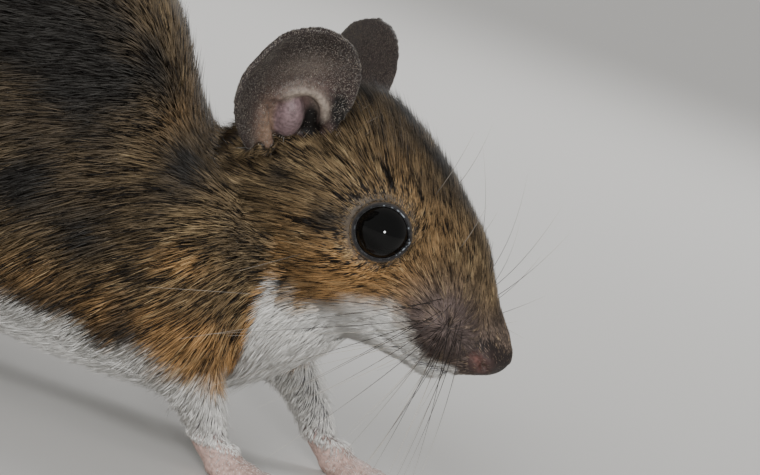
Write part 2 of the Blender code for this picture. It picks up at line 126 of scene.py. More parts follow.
def from_body(points):
    return np.asarray(points, float) * MM + np.array(SHIFT)


def in_head(points):
    """Body-frame millimetres to the head's frame."""
    return (np.asarray(points, float) - np.array(NOSE_TIP)) @ HEAD_AXES


def from_head(points):
    return np.asarray(points, float) @ HEAD_AXES.T + np.array(NOSE_TIP)


def sides_of(u):
    """Places in the head's frame, with its right laid over its left."""
    x, y, z = in_head(u).T
    return np.stack([x, np.abs(y), z], 1)


def past_nape(u):
    """How far places are before the plane that parts the head from the body."""
    return (u - np.array(NAPE)) @ np.array(NAPE_WAY)


def on_side(place, mirror):
    """A place or a way given for the left, for the side that mirror says."""
    return np.array(place) * (1, mirror, 1)


def away(points, place):
    return np.linalg.norm(points - np.array(place), axis=1)


def unit(vectors):
    vectors = np.asarray(vectors, float)
    return vectors / np.maximum(np.linalg.norm(vectors, axis=-1, keepdims=True), 1e-9)


EYE_OUT = unit(EYE_AXIS)
EYE_AHEAD = unit(np.array((1.0, 0.0, 0.0)) - EYE_OUT[0] * EYE_OUT)
EYE_ABOVE = np.cross(EYE_AHEAD, EYE_OUT)


def ramp(values, low, high):
    """0 below low, 1 above high and smooth between them."""
    t = np.clip((np.asarray(values, float) - low) / (high - low), 0, 1)
    return t * t * (3 - 2 * t)


def spot(points, centre, radii):
    """1 at a place and fading to nothing round it, by the radii."""
    return np.exp(-(((points - np.array(centre)) / np.array(radii)) ** 2).sum(-1))


def spots(points, rows):
    """The sum of spots, each with its strength before its centre and radii."""
    return sum(strength * spot(points, centre, radii) for strength, centre, radii in rows)


def noise(points, size, seed):
    """Smooth value noise from -1 to 1, with cells of the size given in millimetres."""
    scaled = np.asarray(points, float) / np.asarray(size, float) + 57.0
    cell = np.floor(scaled).astype(np.int64)
    part = scaled - cell
    part = part * part * (3 - 2 * part)
    total = np.zeros(len(scaled))
    for corner in range(8):
        step = np.array([corner & 1, (corner >> 1) & 1, corner >> 2])
        k = cell + step
        h = (k[:, 0] * 73856093) ^ (k[:, 1] * 19349663) ^ (k[:, 2] * 83492791) ^ (seed * 2654435761)
        h = (h ^ (h >> 13)) * 1274126177 & 0x7FFFFFFF
        share = np.prod(np.where(step == 1, part, 1 - part), axis=1)
        total += share * ((h & 0xFFFF) / 32767.5 - 1)
    return total


# ---------------- the marks of the coat

# Height of the line between brown side and white underside, along x, on the body's right
WHITE_LINE = (
    ((-82.0, 14.6), (-74.0, 12.0), (-64.0, 10.8), (-52.0, 10.8), (-40.5, 10.5), (-33.6, 9.9))
    + ((-28.7, 9.5), (-25.5, 8.9), (-22.6, 8.5), (-21.2, 9.3), (-20.5, 12.5), (-19.6, 17.2))
    + ((-18.6, 15.7), (-16.8, 15.7), (-14.5, 16.5), (-11.4, 17.2), (-9.7, 17.6), (-8.0, 17.4))
    + ((-7.0, 16.2), (-6.0, 15.0), (-5.0, 14.4), (-2.0, 13.4), (2.0, 13.2))
)
# How far back from the nose tip, and how far under it, the upper lip's edge is
LIP_LINE = ((1.2, 1.6, 2.4, 4.0, 6.0), (4.0, 3.75, 3.85, 4.4, 5.1))
# The middle of the pad that the whiskers grow from
PAD = (-4.6, 4.3, -2.0)
# Patches where an ochre or a slate coat shows, on the body's right side and on the head's: how strongly,
# where, and how far they reach. The head's first dark patch is painted shadow instead
OCHRE_SPOTS = (
    (0.9, (-25.5, -12.0, 10.6), (5.5, 6.0, 2.6)),
    (0.8, (-26.4, -12.0, 17.1), (1.7, 5.0, 1.0)),
    (0.6, (-30.8, -7.0, 26.5), (2.0, 5.0, 2.4)),
)
FACE_OCHRE = (
    (0.75, (-10.5, 7.0, -3.8), (6.5, 4.5, 2.2)),
    (0.35, (-9.5, 4.5, 2.5), (3.5, 3.5, 2.5)),
    (0.3, (-15.5, 5.5, 5.0), (4.0, 3.0, 3.0)),
)
SLATE_SPOTS = (
    (0.75, (-28.3, -9.0, 22.6), (1.9, 6.0, 2.8)),
    (0.75, (-28.4, -12.5, 11.9), (1.8, 4.0, 1.9)),
    (0.6, (-32.9, -12.5, 17.2), (2.3, 5.0, 1.8)),
    (0.6, (-28.5, -12.5, 15.3), (1.1, 4.0, 1.9)),
    (0.6, (-40.0, -13.0, 19.5), (6.0, 5.0, 3.5)),
)
FACE_SLATE_AND_SHADE = (
    # Painted shadow: darker where the ear shades the head by its root
    (0.8, (-22.0, 7.7, -2.0), (1.4, 3.0, 1.0)),
    (0.9, (-17.0, 7.0, -2.1), (0.9, 2.5, 1.1)),
)


def mirrored(u):
    """Body places with the left laid over the right, so that both sides have the same marks."""
    ahead = ramp(past_nape(u), -5.0, 1.0)[:, None]
    x, y, z = u.T
    x = x - LEFT_LEAD * ramp(y, 2.0, 6.0) * ramp(x, -36.0, -26.0)
    over = from_head(sides_of(u) * (1, -1, 1))
    return over * ahead + np.stack([x, -np.abs(y), z], 1) * (1 - ahead)


def round_eye(side):
    """Distance from the eye's middle, angle from its axis, and angle round it from ahead, in degrees."""
    from_eye = side - np.array(EYE)
    distance = np.linalg.norm(from_eye, axis=-1)
    off_axis = np.degrees(np.arccos(np.clip((from_eye @ EYE_OUT) / np.maximum(distance, 1e-6), -1, 1)))
    return distance, off_axis, np.degrees(np.arctan2(from_eye @ EYE_ABOVE, from_eye @ EYE_AHEAD))


def lid_opening(azimuth):
    """How far from the eye's axis the lids' edge is: a circle with a corner ahead and a slight one behind."""
    before = (azimuth - EYE_CORNER + 180) % 360 - 180
    behind = (azimuth - EYE_CORNER) % 360 - 180
    return EYE_OPENING + 8.0 * np.exp(-((before / 15) ** 2)) + 2.5 * np.exp(-((behind / 22) ** 2))


def ear_back(u, normals):
    """1 where an ear's skin faces backwards."""
    facing = normals @ HEAD_AXES
    facing[:, 1] *= np.sign(u[:, 1])
    return ramp(-(facing @ np.array(EAR_FACING)), -0.1, 0.15)


def tail_top(u, normals):
    """1 on the tail's upper side, which is darker than its underside."""
    return ramp(-u[:, 0], 80.0, 84.0) * ramp(normals[:, 2], -0.2, 0.7)


def marks(u, normals):
    """How white, ochre, slate and mauve the coat is at places in the body's frame, with painted shade in
    slate.
    """
    side, m = sides_of(u), mirrored(u)
    x, y, z = in_head(u).T
    head = ramp(past_nape(m), -5.0, 3.5)
    line = np.interp(m[:, 0], *zip(*WHITE_LINE))
    above = m[:, 2] - line + 1.1 * noise(u, (2.5, 1.6, 1.6), 5) + 0.4 * noise(u, 0.7, 6)
    inside_leg = ramp(-normals[:, 1] * np.sign(u[:, 1]), 0.0, 0.5) * (1 - ramp(u[:, 2], 6.0, 10.0))
    chin = ramp(-z, 5.2, 6.4) * ramp(x, -12.0, -9.0)
    lip = ramp(-z - np.interp(-x, *LIP_LINE), 0.0, 0.7) * ramp(-x, 0.6, 2.4) * ramp(x, -8.0, -6.0)
    white = np.maximum.reduce([1 - ramp(above, -0.9, 1.1), inside_leg, chin, lip])
    white *= 1 - tail_top(u, normals)

    ochre = 0.9 * np.exp(-(((above - 1.6) / 2.6) ** 2)) * (1 - 0.25 * head)
    ochre *= 0.5 + 0.5 * ramp(m[:, 0], -32.0, -27.0)
    ochre += spots(side, FACE_OCHRE) + spots(m, OCHRE_SPOTS)

    # Dark along the back and the crown, ragged at the edges, with patches of its own. It is partly the coat's
    # own dark and partly painted shade, deepest at the top of the back and on the crown's edge by the ears
    ragged = noise(u, (1.9, 1.2, 1.2), 13)
    crown = np.exp(-(((y + 0.9 * ragged) / 3.8) ** 2)) * ramp(z, 1.0, 4.5) * head
    slate = 0.95 * ramp(m[:, 2], 14.0, 31.0) * (1 - head)
    slate += (0.8 + 0.4 * ragged) * crown * (0.3 + 0.7 * ramp(-x, 7.0, 14.0))
    slate += (0.95 + 0.7 * ragged) * spots(m, SLATE_SPOTS) + spots(side, FACE_SLATE_AND_SHADE)
    patchy = noise(u, (6.5, 4.0, 3.6), 11) + 0.6 * noise(u, (2.6, 1.7, 1.5), 12)
    slate = np.clip(slate + 0.38 * patchy * (0.35 + 0.65 * (1 - head)), 0, 1)
    slate += 1.2 * ramp(x, -3.5, -1.0)

    ears, behind = is_ear(u), ear_back(u, normals)
    slate = np.clip(np.where(ears, 0.45 + 0.3 * behind, slate), 0, 1)
    ochre = np.where(ears, 0.0, ochre)
    white = np.where(ears, 0.22 - 0.18 * behind, white)
    mauve = 1.4 * spot(side, (-4.6, 4.3, -2.4), (3.3, 4.0, 3.0)) + 0.5 * ramp(x, -4.0, -0.5)
    mauve = np.clip(mauve, 0, 1) * (1 - 0.7 * white)
    ochre = np.clip(ochre, 0, 1) * (1 - 0.6 * slate) * (1 - mauve)
    return np.stack([white, ochre, slate * (1 - mauve), mauve], 1)


def coat_depth(u):
    """How deep the coat is, in millimetres, from the skin to the tips of its hairs."""
    side = sides_of(u)
    head = ramp(past_nape(u), -12.0, 1.0)
    on_head = np.interp(-side[:, 0], (-1.0, 1.2, 3.0, 8.0, 14.0, 22.0), (0.0, 0.05, 0.25, 0.55, 0.9, 1.1))
    on_head *= 0.05 + 0.95 * ramp(away(side, EYE), 2.6, 5.4)
    on_head *= 0.5 + 0.5 * ramp(away(side, EAR_ROOT), 2.0, 6.0)
    on_body = np.interp(u[:, 2], (2.6, 5.0, 9.0, 16.0, 26.0), (0.0, 0.5, 1.3, 2.0, 2.2))
    on_body *= 0.15 + 0.85 * ramp(away(u, TAIL_ROOT), 2.5, 8.0)
    return on_head * head + on_body * (1 - head)


# ---------------- meshes


def only(obj):
    """Leaves this object alone selected and active."""
    bpy.ops.object.select_all(action="DESELECT")
    obj.select_set(True)
    bpy.context.view_layer.objects.active = obj


def modify(obj, kind, **settings):
    """Gives an object one modifier and applies it."""
    only(obj)
    step = obj.modifiers.new(kind.lower(), kind)
    for name, value in settings.items():
        setattr(step, name, value)
    bpy.ops.object.modifier_apply(modifier=step.name)


def edit(obj, act, **settings):
    """Runs one editing step on the whole of an object's mesh."""
    only(obj)
    bpy.ops.object.mode_set(mode="EDIT")
    bpy.ops.mesh.select_all(action="SELECT")
    act(**settings)
    bpy.ops.object.mode_set(mode="OBJECT")


def new_object(name, data):
    obj = bpy.data.objects.new(name, data)
    bpy.context.scene.collection.objects.link(obj)
    return obj


def copy_of(node):
    """A copy of a CAD node's mesh with its doubles merged, as an object of its own."""
    obj = new_object(f"copy_{node}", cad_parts[node].data.copy())
    obj.data.materials.clear()
    edit(obj, bpy.ops.mesh.remove_doubles, threshold=1e-6)
    return obj


def joined(name, pieces):
    only(pieces[0])
    for piece in pieces[1:]:
        piece.select_set(True)
    bpy.ops.object.join()
    pieces[0].name = name
    return pieces[0]


def read(items, key, width=3, kind=np.float32):
    """One property of many of Blender's items as an array, with a row to each item."""
    values = np.empty(len(items) * width, kind)
    items.foreach_get(key, values)
    return values.reshape(-1, width)


def places(obj):
    """The mesh's points in the body's frame, and their normals."""
    verts = obj.data.vertices
    return in_body(read(verts, "co")), read(verts, "normal").astype(float)


def move_to(obj, u):
    obj.data.vertices.foreach_set("co", from_body(u).astype(np.float32).ravel())
    obj.data.update()


def globe(name, centre, radii, turn=Matrix.Identity(4), segments=32):
    """A ball at a place in the body's frame, made an ellipsoid by its radii."""
    bpy.ops.mesh.primitive_uv_sphere_add(segments=segments, ring_count=segments // 2, radius=1.0)
    obj = bpy.context.object
    obj.name = name
    stretch = Matrix.Diagonal((*[r * MM for r in radii], 1.0))
    obj.data.transform(Matrix.Translation(Vector(from_body(centre))) @ turn @ stretch)
    return obj


# A way that no tube runs along
TUBE_LEVEL = (0.31, 0.42, 0.853)


def tube(points, radii, sides):
    """Verts and faces of a closed tapering tube through points, in any frame."""
    points, radii = np.asarray(points, float), np.asarray(radii)[:, None, None]
    along = unit(np.gradient(points, axis=0))
    first = unit(np.cross(along, TUBE_LEVEL))
    second = np.cross(along, first)
    turns = np.arange(sides) * 2 * math.pi / sides
    rings = points[:, None] + np.cos(turns)[None, :, None] * first[:, None] * radii
    rings = rings + np.sin(turns)[None, :, None] * second[:, None] * radii
    faces = []
    for i in range(0, (len(points) - 1) * sides, sides):
        for k in range(sides):
            n = (k + 1) % sides
            faces.append((i + k, i + n, i + sides + n, i + sides + k))
    faces.append(tuple(range(sides))[::-1])
    faces.append(tuple(range((len(points) - 1) * sides, len(points) * sides)))
    return rings.reshape(-1, 3), faces


def mesh_object(name, verts, faces):
    mesh = bpy.data.meshes.new(name)
    mesh.from_pydata([tuple(v) for v in verts], [], faces)
    mesh.update()
    mesh.shade_smooth()
    return new_object(name, mesh)


def tubes(name, lines, sides=10):
    """One mesh of tubes, each given by its points in the body's frame and its radii."""
    verts, faces, count = [], [], 0
    for points, radii in lines:
        ring, around = tube(points, radii, sides)
        faces += [tuple(i + count for i in face) for face in around]
        verts.append(ring)
        count += len(ring)
    return mesh_object(name, from_body(np.concatenate(verts)), faces)


def paint(obj, title, values):
    """A colour attribute from a column, or up to four, with a row to each point."""
    layer = obj.data.color_attributes.new(title, "FLOAT_COLOR", "POINT")
    rgba = np.ones((len(obj.data.vertices), 4), np.float32)
    rgba[:, : values.shape[1]] = values
    layer.data.foreach_set("color", rgba.ravel())


# ---------------- ears


def ear_axes(side, mirror):
    """Across, facing and up of an ear, as rows, in the head's frame."""
    up = unit(on_side(EAR_UP[side], mirror))
    facing = on_side(EAR_FACING, mirror)
    facing = unit(facing - (facing @ up) * up)
    return np.stack([np.cross(facing, up) * mirror, facing, up])


def ear_width(t):
    """Half the pinna's width, round its curl, and the angle of that curl."""
    outer = np.sqrt(np.clip(1 - ((t - 0.5) / 0.5) ** 2, 0, 1))
    inner = 0.6 + 0.4 * np.sin(np.clip(t, 0, 0.5) * math.pi)
    half = EAR_HALF_WIDTH * np.where(t > 0.5, outer, inner)
    return half, 1.3 - 0.68 * np.minimum(1, np.clip(t, 0, 1) / 0.75) ** 0.7


def ear_surface(t, s):
    """The pinna, in mm: t from root to tip and s from its rear edge to its front one."""
    half, curl = ear_width(t)
    radius = half / curl
    out = radius * (1 - np.cos(curl * s)) - 0.4 * np.sin(math.pi * t)
    return np.stack([radius * np.sin(curl * s), out, EAR_HEIGHT * t], 1)


def from_ear(points, side, mirror):
    """Ear millimetres (across, out of the hollow, up) to the body's frame."""
    return from_head(np.asarray(points, float) @ ear_axes(side, mirror) + on_side(EAR_ROOT, mirror))


def in_ear(u, side, mirror):
    return (in_head(u) - on_side(EAR_ROOT, mirror)) @ ear_axes(side, mirror).T


def ear(side, mirror):
    """The pinna as a cupped sheet with a thin wall and shallow ripples along it."""
    bpy.ops.mesh.primitive_grid_add(x_subdivisions=90, y_subdivisions=90, size=2.0)
    sheet = bpy.context.object
    across, height, _ = read(sheet.data.vertices, "co").astype(float).T
    t = (height + 1) / 2
    t = 0.972 * t - 0.12 * (1 - t)
    shape = ear_surface(t, across)
    shape[:, 1] += 0.10 * np.sin(across * 9 + 2.2 * t) * ramp(t, 0.35, 0.6) * (1 - ramp(t, 0.75, 0.95))
    # The rear edge's foot is tucked into the head
    shape[:, 1] -= 1.9 * ramp(0.16 - t, 0.0, 0.26) * ramp(-across, 0.35, 1.0)
    move_to(sheet, from_ear(shape, side, mirror))
    modify(sheet, "SOLIDIFY", thickness=EAR_WALL * MM, offset=0.0)
    return sheet


# The dome before the ear's opening: its centre and radii, across, out and up in the ear's frame
EAR_DOME = ((0.4, 0.35, 2.7), (1.25, 1.35, 2.1))
# The ridges that curl round the opening: a place in the ear's frame and a radius at each point
EAR_RIDGES = (
    ((-1.1, 0.35, 4.7, 0.25), (0.0, 0.4, 5.5, 0.45), (1.4, 0.5, 5.6, 0.55), (2.5, 0.85, 5.0, 0.55))
    + ((3.05, 1.3, 4.0, 0.5), (3.0, 1.6, 2.9, 0.42), (2.7, 1.6, 2.1, 0.3)),
    ((-2.0, 0.7, 4.2, 0.3), (-2.0, 0.8, 3.0, 0.45), (-1.7, 1.0, 1.9, 0.5), (-1.4, 1.2, 0.8, 0.5))
    + ((-1.2, 1.3, -0.3, 0.4),),
)


def ear_folds(side, mirror):
    """Solid folds inside the ear."""
    turn = Matrix(ear_axes(side, mirror).T.tolist()).to_4x4()
    centre, radii = EAR_DOME
    dome = globe("dome", from_ear(centre, side, mirror), radii, HEAD_TURN @ turn)
    lines = [(from_ear(np.array(ridge)[:, :3], side, mirror), np.array(ridge)[:, 3]) for ridge in EAR_RIDGES]
    return [dome, tubes("ridges", lines, 12)]


# ---------------- skin


def make_skin():
    """Fuses copies of the flesh, sunk by the coat's depth, with fine ears, paws and tail."""
    parts = [copy_of(node) for node in FLESH + PAWS + ("tail_base",)]
    for _, mirror in SIDES:
        parts.append(globe("filled_socket", from_head(on_side(EYE, mirror)), (EYE_RADIUS,) * 3))
    flesh = joined("flesh", parts)
    modify(flesh, "DISPLACE", strength=FLESH_GROWTH * MM, mid_level=0.0)
    modify(flesh, "REMESH", mode="VOXEL", voxel_size=FLESH_VOXEL * MM)
    modify(flesh, "SMOOTH", factor=0.5, iterations=14)
    u, normals = places(flesh)
    u -= normals * (FLESH_GROWTH + coat_depth(u))[:, None]
    move_to(flesh, u)
    modify(flesh, "SMOOTH", factor=0.5, iterations=4)

    fine = [copy_of(node) for node in PAWS + TAIL]
    for piece in fine:
        modify(piece, "DISPLACE", strength=FINE_GROWTH * MM, mid_level=0.0)
    for side, mirror in SIDES:
        fine += [ear(side, mirror), *ear_folds(side, mirror)]
    skin = joined("skin", [flesh, *fine])
    modify(skin, "REMESH", mode="VOXEL", voxel_size=SKIN_VOXEL * MM)
    modify(skin, "SMOOTH", factor=0.5, iterations=3)
    return skin


def thin(obj, title, chosen, keep):
    """Takes away all but a share of the facets among the chosen points, and leaves the others their own."""
    group = obj.vertex_groups.new(name=title)
    group.add([int(i) for i in np.flatnonzero(chosen)], 1.0, "REPLACE")
    inside = sum(all(chosen[v] for v in face.vertices) for face in obj.data.polygons)
    share = inside / len(obj.data.polygons)
    modify(obj, "DECIMATE", ratio=1 - share * (1 - keep), vertex_group=title)


def thin_under_coat(obj):
    """Keeps the fine facets for the face, ears and paws: the coat hides the trunk's, and a tail is plain."""
    u, _ = places(obj)
    trunk = (past_nape(u) <= 0) & (u[:, 0] > TAIL_ROOT[0])
    thin(obj, "under_coat", (coat_depth(u) > 0.5) & ~is_ear(u) & trunk, TRUNK_SHARE)
    u, _ = places(obj)
    thin(obj, "tail", u[:, 0] < TAIL_ROOT[0] - 1, TAIL_SHARE)


def ear_share(u, side, mirror):
    """True on one ear's thin wall: near the cupped sheet that the ear was made from."""
    x, y, z = in_ear(u, side, mirror).T
    height = z / EAR_HEIGHT
    half, curl = ear_width(np.clip(height, 0.0, 0.999))
    radius = half / curl
    turned = np.clip(x / radius, -0.99, 0.99)
    sheet = radius * (1 - np.sqrt(1 - turned**2)) - 0.4 * np.sin(math.pi * height)
    gap = np.abs(y - sheet) * np.sqrt(1 - turned**2)
    within = (height > 0.05) & (height < 1.08) & (np.abs(x) < half + 1.2)
    folds = (y > sheet) & (y < sheet + 2.6) & (np.abs(x) < 3.6) & (height > 0.05)
    return within & ((gap < 0.85) | folds) & (u[:, 1] * mirror > -5.0)


def is_ear(u):
    return ear_share(u, "left", 1.0) | ear_share(u, "right", -1.0)


# ---------------- the face


def refine(obj, chosen, cuts):
    """Divides the facets among the chosen points."""
    only(obj)
    picked = [all(chosen[v] for v in face.vertices) for face in obj.data.polygons]
    bpy.context.tool_settings.mesh_select_mode = (False, False, True)
    bpy.ops.object.mode_set(mode="EDIT")
    bpy.ops.mesh.select_all(action="DESELECT")
    bpy.ops.object.mode_set(mode="OBJECT")
    obj.data.polygons.foreach_set("select", picked)
    bpy.ops.object.mode_set(mode="EDIT")
    bpy.ops.mesh.subdivide(number_cuts=cuts)
    bpy.ops.object.mode_set(mode="OBJECT")


def groove(side, path, width):
    """1 along a path given in the head's x and z, fading by its width: a crease on the side of the snout."""
    best = np.full(len(side), 1e9)
    for (x0, z0), (x1, z1) in zip(path, path[1:]):
        way = np.array((x1 - x0, z1 - z0))
        from_start = side[:, (0, 2)] - (x0, z0)
        along = np.clip(from_start @ way / (way @ way), 0, 1)[:, None]
        best = np.minimum(best, np.linalg.norm(from_start - along * way, axis=1))
    return np.exp(-((best / width) ** 2)) * (side[:, 1] < 6.0)


MOUTH = ((-1.9, -5.0), (-3.4, -5.35), (-5.6, -5.9), (-8.2, -6.1))
NOSTRIL = (-0.75, 1.75, -2.55)
NOSTRIL_TAIL = (-1.3, 2.3, -2.3)


def shaped_face(obj):
    """Gives the skin its lids, nostrils, philtrum, mouth and the swelling that the whiskers grow from."""
    u, normals = places(obj)
    h = in_head(u)
    mirror = np.where(h[:, 1:2] < 0, (1.0, -1.0, 1.0), 1.0)
    side, n = h * mirror, normals @ HEAD_AXES * mirror

    side[:, 1] *= 1 - 0.34 * ramp(side[:, 0], -6.5, -0.6)
    x, y, z = side.T
    push = 0.32 * spot(side, (-4.7, 3.9, -2.2), (2.4, 3.0, 2.0))
    push += 0.16 * spot(side, (-0.7, 1.6, -1.75), (0.7, 0.8, 0.45))
    push -= 0.62 * spot(side, NOSTRIL, (0.5, 0.36, 0.34)) + 0.34 * spot(side, NOSTRIL_TAIL, (0.6, 0.7, 0.2))
    parting = ramp(x, -3.6, -2.4) * ramp(-z, 1.0, 1.6) * (1 - ramp(-z, 5.2, 5.8))
    push -= 0.34 * np.exp(-((y / 0.26) ** 2)) * parting
    lower_lip = [(x0, z0 + 0.62) for x0, z0 in MOUTH]
    push -= 0.34 * groove(side, MOUTH, 0.24) * ramp(-z, 4.2, 4.8)
    push += 0.14 * groove(side, lower_lip, 0.4) * ramp(-z, 3.6, 4.2)
    side = side + n * push[:, None]
    side[:, 0] += 0.95 * spot(side, (-0.3, 0.0, -2.2), (1.6, 2.8, 1.9)) * ramp(side[:, 0], -4.5, -2.0)

    distance, off_axis, azimuth = round_eye(side)
    edge = lid_opening(azimuth)
    rim = EYE_RADIUS + 0.03 + 0.24 * np.sqrt(ramp(off_axis, edge, edge + 6.0))
    rim -= 0.10 * np.exp(-(((off_axis - edge - 15.0) / 5.0) ** 2))
    outside = ramp(off_axis, edge + 12.0, edge + 34.0)
    reach = rim * (1 - outside) + np.maximum(distance, 2.6) * outside
    reach = np.where(off_axis < edge, EYE_RADIUS - 0.5 + 0.5 * ramp(off_axis, edge - 4.0, edge), reach)
    near = 1 - ramp(distance, 3.6, 4.6)
    reach = (reach * near + distance * (1 - near))[:, None]
    side = np.array(EYE) + unit(side - np.array(EYE)) * reach
    move_to(obj, np.where(past_nape(u)[:, None] > 0, from_head(side * mirror), u))


def refine_face(obj):
    """Finer facets for the lids and the snout."""
    distance, off_axis, _ = round_eye(sides_of(places(obj)[0]))
    refine(obj, (distance < 3.7) & (off_axis < 112.0), 2)
    x, _, z = in_head(places(obj)[0]).T
    refine(obj, (x > -3.2) & (z < 0.4), 1)


# ---------------- the lie of the coat

BODY_LIE = (
    # x and z of a place on the side, then the way that the hair lies there
    (-22, 25, -0.9, 0.25, -0.1),
    (-33, 28, -0.85, 0.35, -0.3),
    (-46, 38, -0.95, 0.25, -0.15),
    (-60, 37, -1, 0, -0.25),
    (-75, 24, -0.7, 0, -0.7),
    (-24, 19, -0.85, 0.05, -0.45),
    (-31, 20, -0.94, 0, -0.32),
    (-41, 23, -0.92, 0, -0.38),
    (-55, 22, -0.85, 0, -0.5),
    (-68, 22, -0.7, 0, -0.7),
    (-16, 12, -0.6, 0, -0.75),
    (-21, 13, -0.75, 0, -0.6),
    (-30, 12.5, -0.8, 0, -0.55),
    (-38, 11, -0.6, 0, -0.8),
    (-50, 11, -0.55, 0, -0.8),
    (-62, 10, -0.45, 0, -0.9),
    (-74, 12, -0.55, 0, -0.8),
    (-24, 7, -0.2, 0, -1),
    (-20, 3.5, 0.6, 0, -0.8),
    (-62, 4.5, -0.5, 0, -0.9),
)
# How far one of those places reaches
LIE_REACH = 5.5
# Where the face's hair lies upwards, over brow and muzzle, or downwards, over the cheek
FACE_UPWARDS = (
    (0.75, (-15.5, 5.5, 5.2), (5.0, 5.0, 3.2)),
    (0.5, (-8.0, 4.0, 1.8), (3.5, 3.5, 2.5)),
    (-0.6, (-13.0, 7.0, -3.8), (5.5, 4.5, 2.2)),
    (-0.4, (-21.0, 7.5, -1.5), (6.0, 5.0, 4.5)),
)


def lie_of_coat(u, normals):
    """The way that the hair lies at each place: along the skin, as a unit vector."""
    m, side = mirrored(u), sides_of(u)
    table = np.array(BODY_LIE)
    gap = (m[:, None, 0] - table[None, :, 0]) ** 2 + (m[:, None, 2] - table[None, :, 1]) ** 2
    pull = np.exp(-gap / 2 / LIE_REACH**2) + 1e-6 / (1 + gap)
    on_body = unit(pull @ table[:, 2:])
    belly = ramp(-normals[:, 2], 0.5, 0.85)[:, None] * ramp(-u[:, 0], 10.0, 16.0)[:, None]
    on_body = on_body * (1 - belly) + np.array((-1.0, 0.0, 0.0)) * belly
    on_body[:, 1] *= np.clip(u[:, 1] / 5.0, -1, 1)

    way = np.tile((-1.0, 0.0, 0.0), (len(u), 1))
    way[:, 2] += spots(side, FACE_UPWARDS) - 0.35 * ramp(-side[:, 2], 3.0, 7.0)
    # It fans out from the pad of the whiskers and away from the lids
    way += 2.2 * unit(side - np.array(PAD)) * spot(side, PAD, (2.6, 3.5, 2.4))[:, None]
    near_eye = np.exp(-(((away(side, EYE) - EYE_RADIUS) / 1.5) ** 2))
    way += unit(side - np.array(EYE)) * near_eye[:, None]
    way[:, 1] *= np.where(in_head(u)[:, 1] < 0, -1.0, 1.0)
    head = ramp(past_nape(u), -4.0, 3.0)[:, None]
    lie = unit(way) @ HEAD_AXES.T * head + on_body * (1 - head)
    for name, mirror in SIDES:
        on_ear = ear_share(u, name, mirror)
        x, _, z = in_ear(u[on_ear], name, mirror).T
        fan = unit(np.stack([x * 0.5, np.zeros(len(x)), z + 2.5], 1))
        lie[on_ear] = fan @ ear_axes(name, mirror) @ HEAD_AXES.T
    lie -= (lie * normals).sum(1, keepdims=True) * normals
    return unit(lie)


# ---------------- tufts

# Corners of a bent tuft's faces: its root is point 0, then come three points round its middle, and its tip
SPINDLE = ((1, 3, 4), (3, 2, 4), (2, 1, 4), (3, 1, 0), (2, 3, 0), (1, 2, 0))
# A straight one's: three points round its root, and its tip
SPIKE = ((0, 1, 2), (0, 3, 1), (1, 3, 2), (2, 3, 0))


def mesh_of_triangles(name, verts, triangles):
    """A mesh from arrays, with its points in the body's frame."""
    mesh = bpy.data.meshes.new(name)
    mesh.vertices.add(len(verts))
    mesh.vertices.foreach_set("co", from_body(verts).astype(np.float32).ravel())
    mesh.loops.add(triangles.size)
    mesh.loops.foreach_set("vertex_index", triangles.astype(np.int32).ravel())
    mesh.polygons.add(len(triangles))
    mesh.polygons.foreach_set("loop_start", np.arange(0, triangles.size, 3, dtype=np.int32))
    mesh.update(calc_edges=True)
    mesh.shade_smooth()
    return new_object(name, mesh)


def unwrapped(corners):
    """Where each corner of a patch of skin falls on an unwrap of that patch."""
    verts, index = np.unique(np.round(corners.reshape(-1, 3), 5), axis=0, return_inverse=True)
    obj = mesh_of_triangles("patch", verts, index.reshape(-1, 3))
    edit(obj, bpy.ops.uv.smart_project, angle_limit=math.radians(75), island_margin=0.002)
    uv = read(obj.data.uv_layers.active.data, "uv", 2).reshape(-1, 3, 2).astype(float)
    bpy.data.objects.remove(obj, do_unlink=True)
    return uv


class Skin:
    """The finished skin as arrays, in the body's frame: points, normals, triangles and their areas."""

    def __init__(self, obj):
        obj.data.calc_loop_triangles()
        self.u, self.normals = places(obj)
        self.triangles = read(obj.data.loop_triangles, "vertices", kind=np.int32)
        a, b, c = (self.u[self.triangles[:, k]] for k in range(3))
        across = np.cross(b - a, c - a)
        self.area = np.linalg.norm(across, axis=1) / 2
        self.centre = (a + b + c) / 3
        self.face_normal = unit(across)
        self.tree = BVHTree.FromPolygons(self.u.tolist(), self.triangles.tolist(), all_triangles=True)

    def roots(self, chosen, weight, count, rng):
        """Random roots on the chosen triangles: places, normals, and their places on the patch's unwrap."""
        odds = self.area[chosen] * weight[chosen]
        pick = rng.choice(len(chosen), size=count, p=odds / odds.sum())
        uv = unwrapped(self.u[self.triangles[chosen]])
        first, second = rng.random((2, count))
        fold = first + second > 1
        first[fold], second[fold] = 1 - first[fold], 1 - second[fold]
        shares = np.stack([1 - first - second, first, second], 1)[..., None]
        corners = self.triangles[chosen][pick]
        root = (self.u[corners] * shares).sum(1)
        normal = unit((self.normals[corners] * shares).sum(1))
        return root, normal, (uv[pick] * shares).sum(1)


# The share of the tufts that are longer, thinner and dark
GUARD_HAIRS = 0.07
# How many half widths of a hair a streak of the coat is wide, and how many times as long as wide it is
STREAK, STREAK_LENGTH = 3.6, 6.0
# Millimetres between the places where the streaks' direction is taken anew
STREAK_PATCH = 3.0
# Half the width of a tuft's patch on the map, and the turn in radians from one of its points to the next
TUFT_PATCH, TUFT_TURN = 0.00135, 2.4
# Millimetres back from the nose between which the coat turns from sleek and striped to loose
LOOSENS = (20.0, 34.0)
# Spreads the locks' own numbers evenly between 0 and 1
GOLDEN = 0.6180339
# Millimetres across one little lock of the coat
LOCK = 0.9


def over_skin(tree, points, heights):
    """Points moved to a height over the nearest skin."""
    out = points.copy()
    for i, point in enumerate(points):
        found, normal, _, _ = tree.find_nearest(Vector(point))
        out[i] = np.array(found) + np.array(normal) * heights[i]
    return out


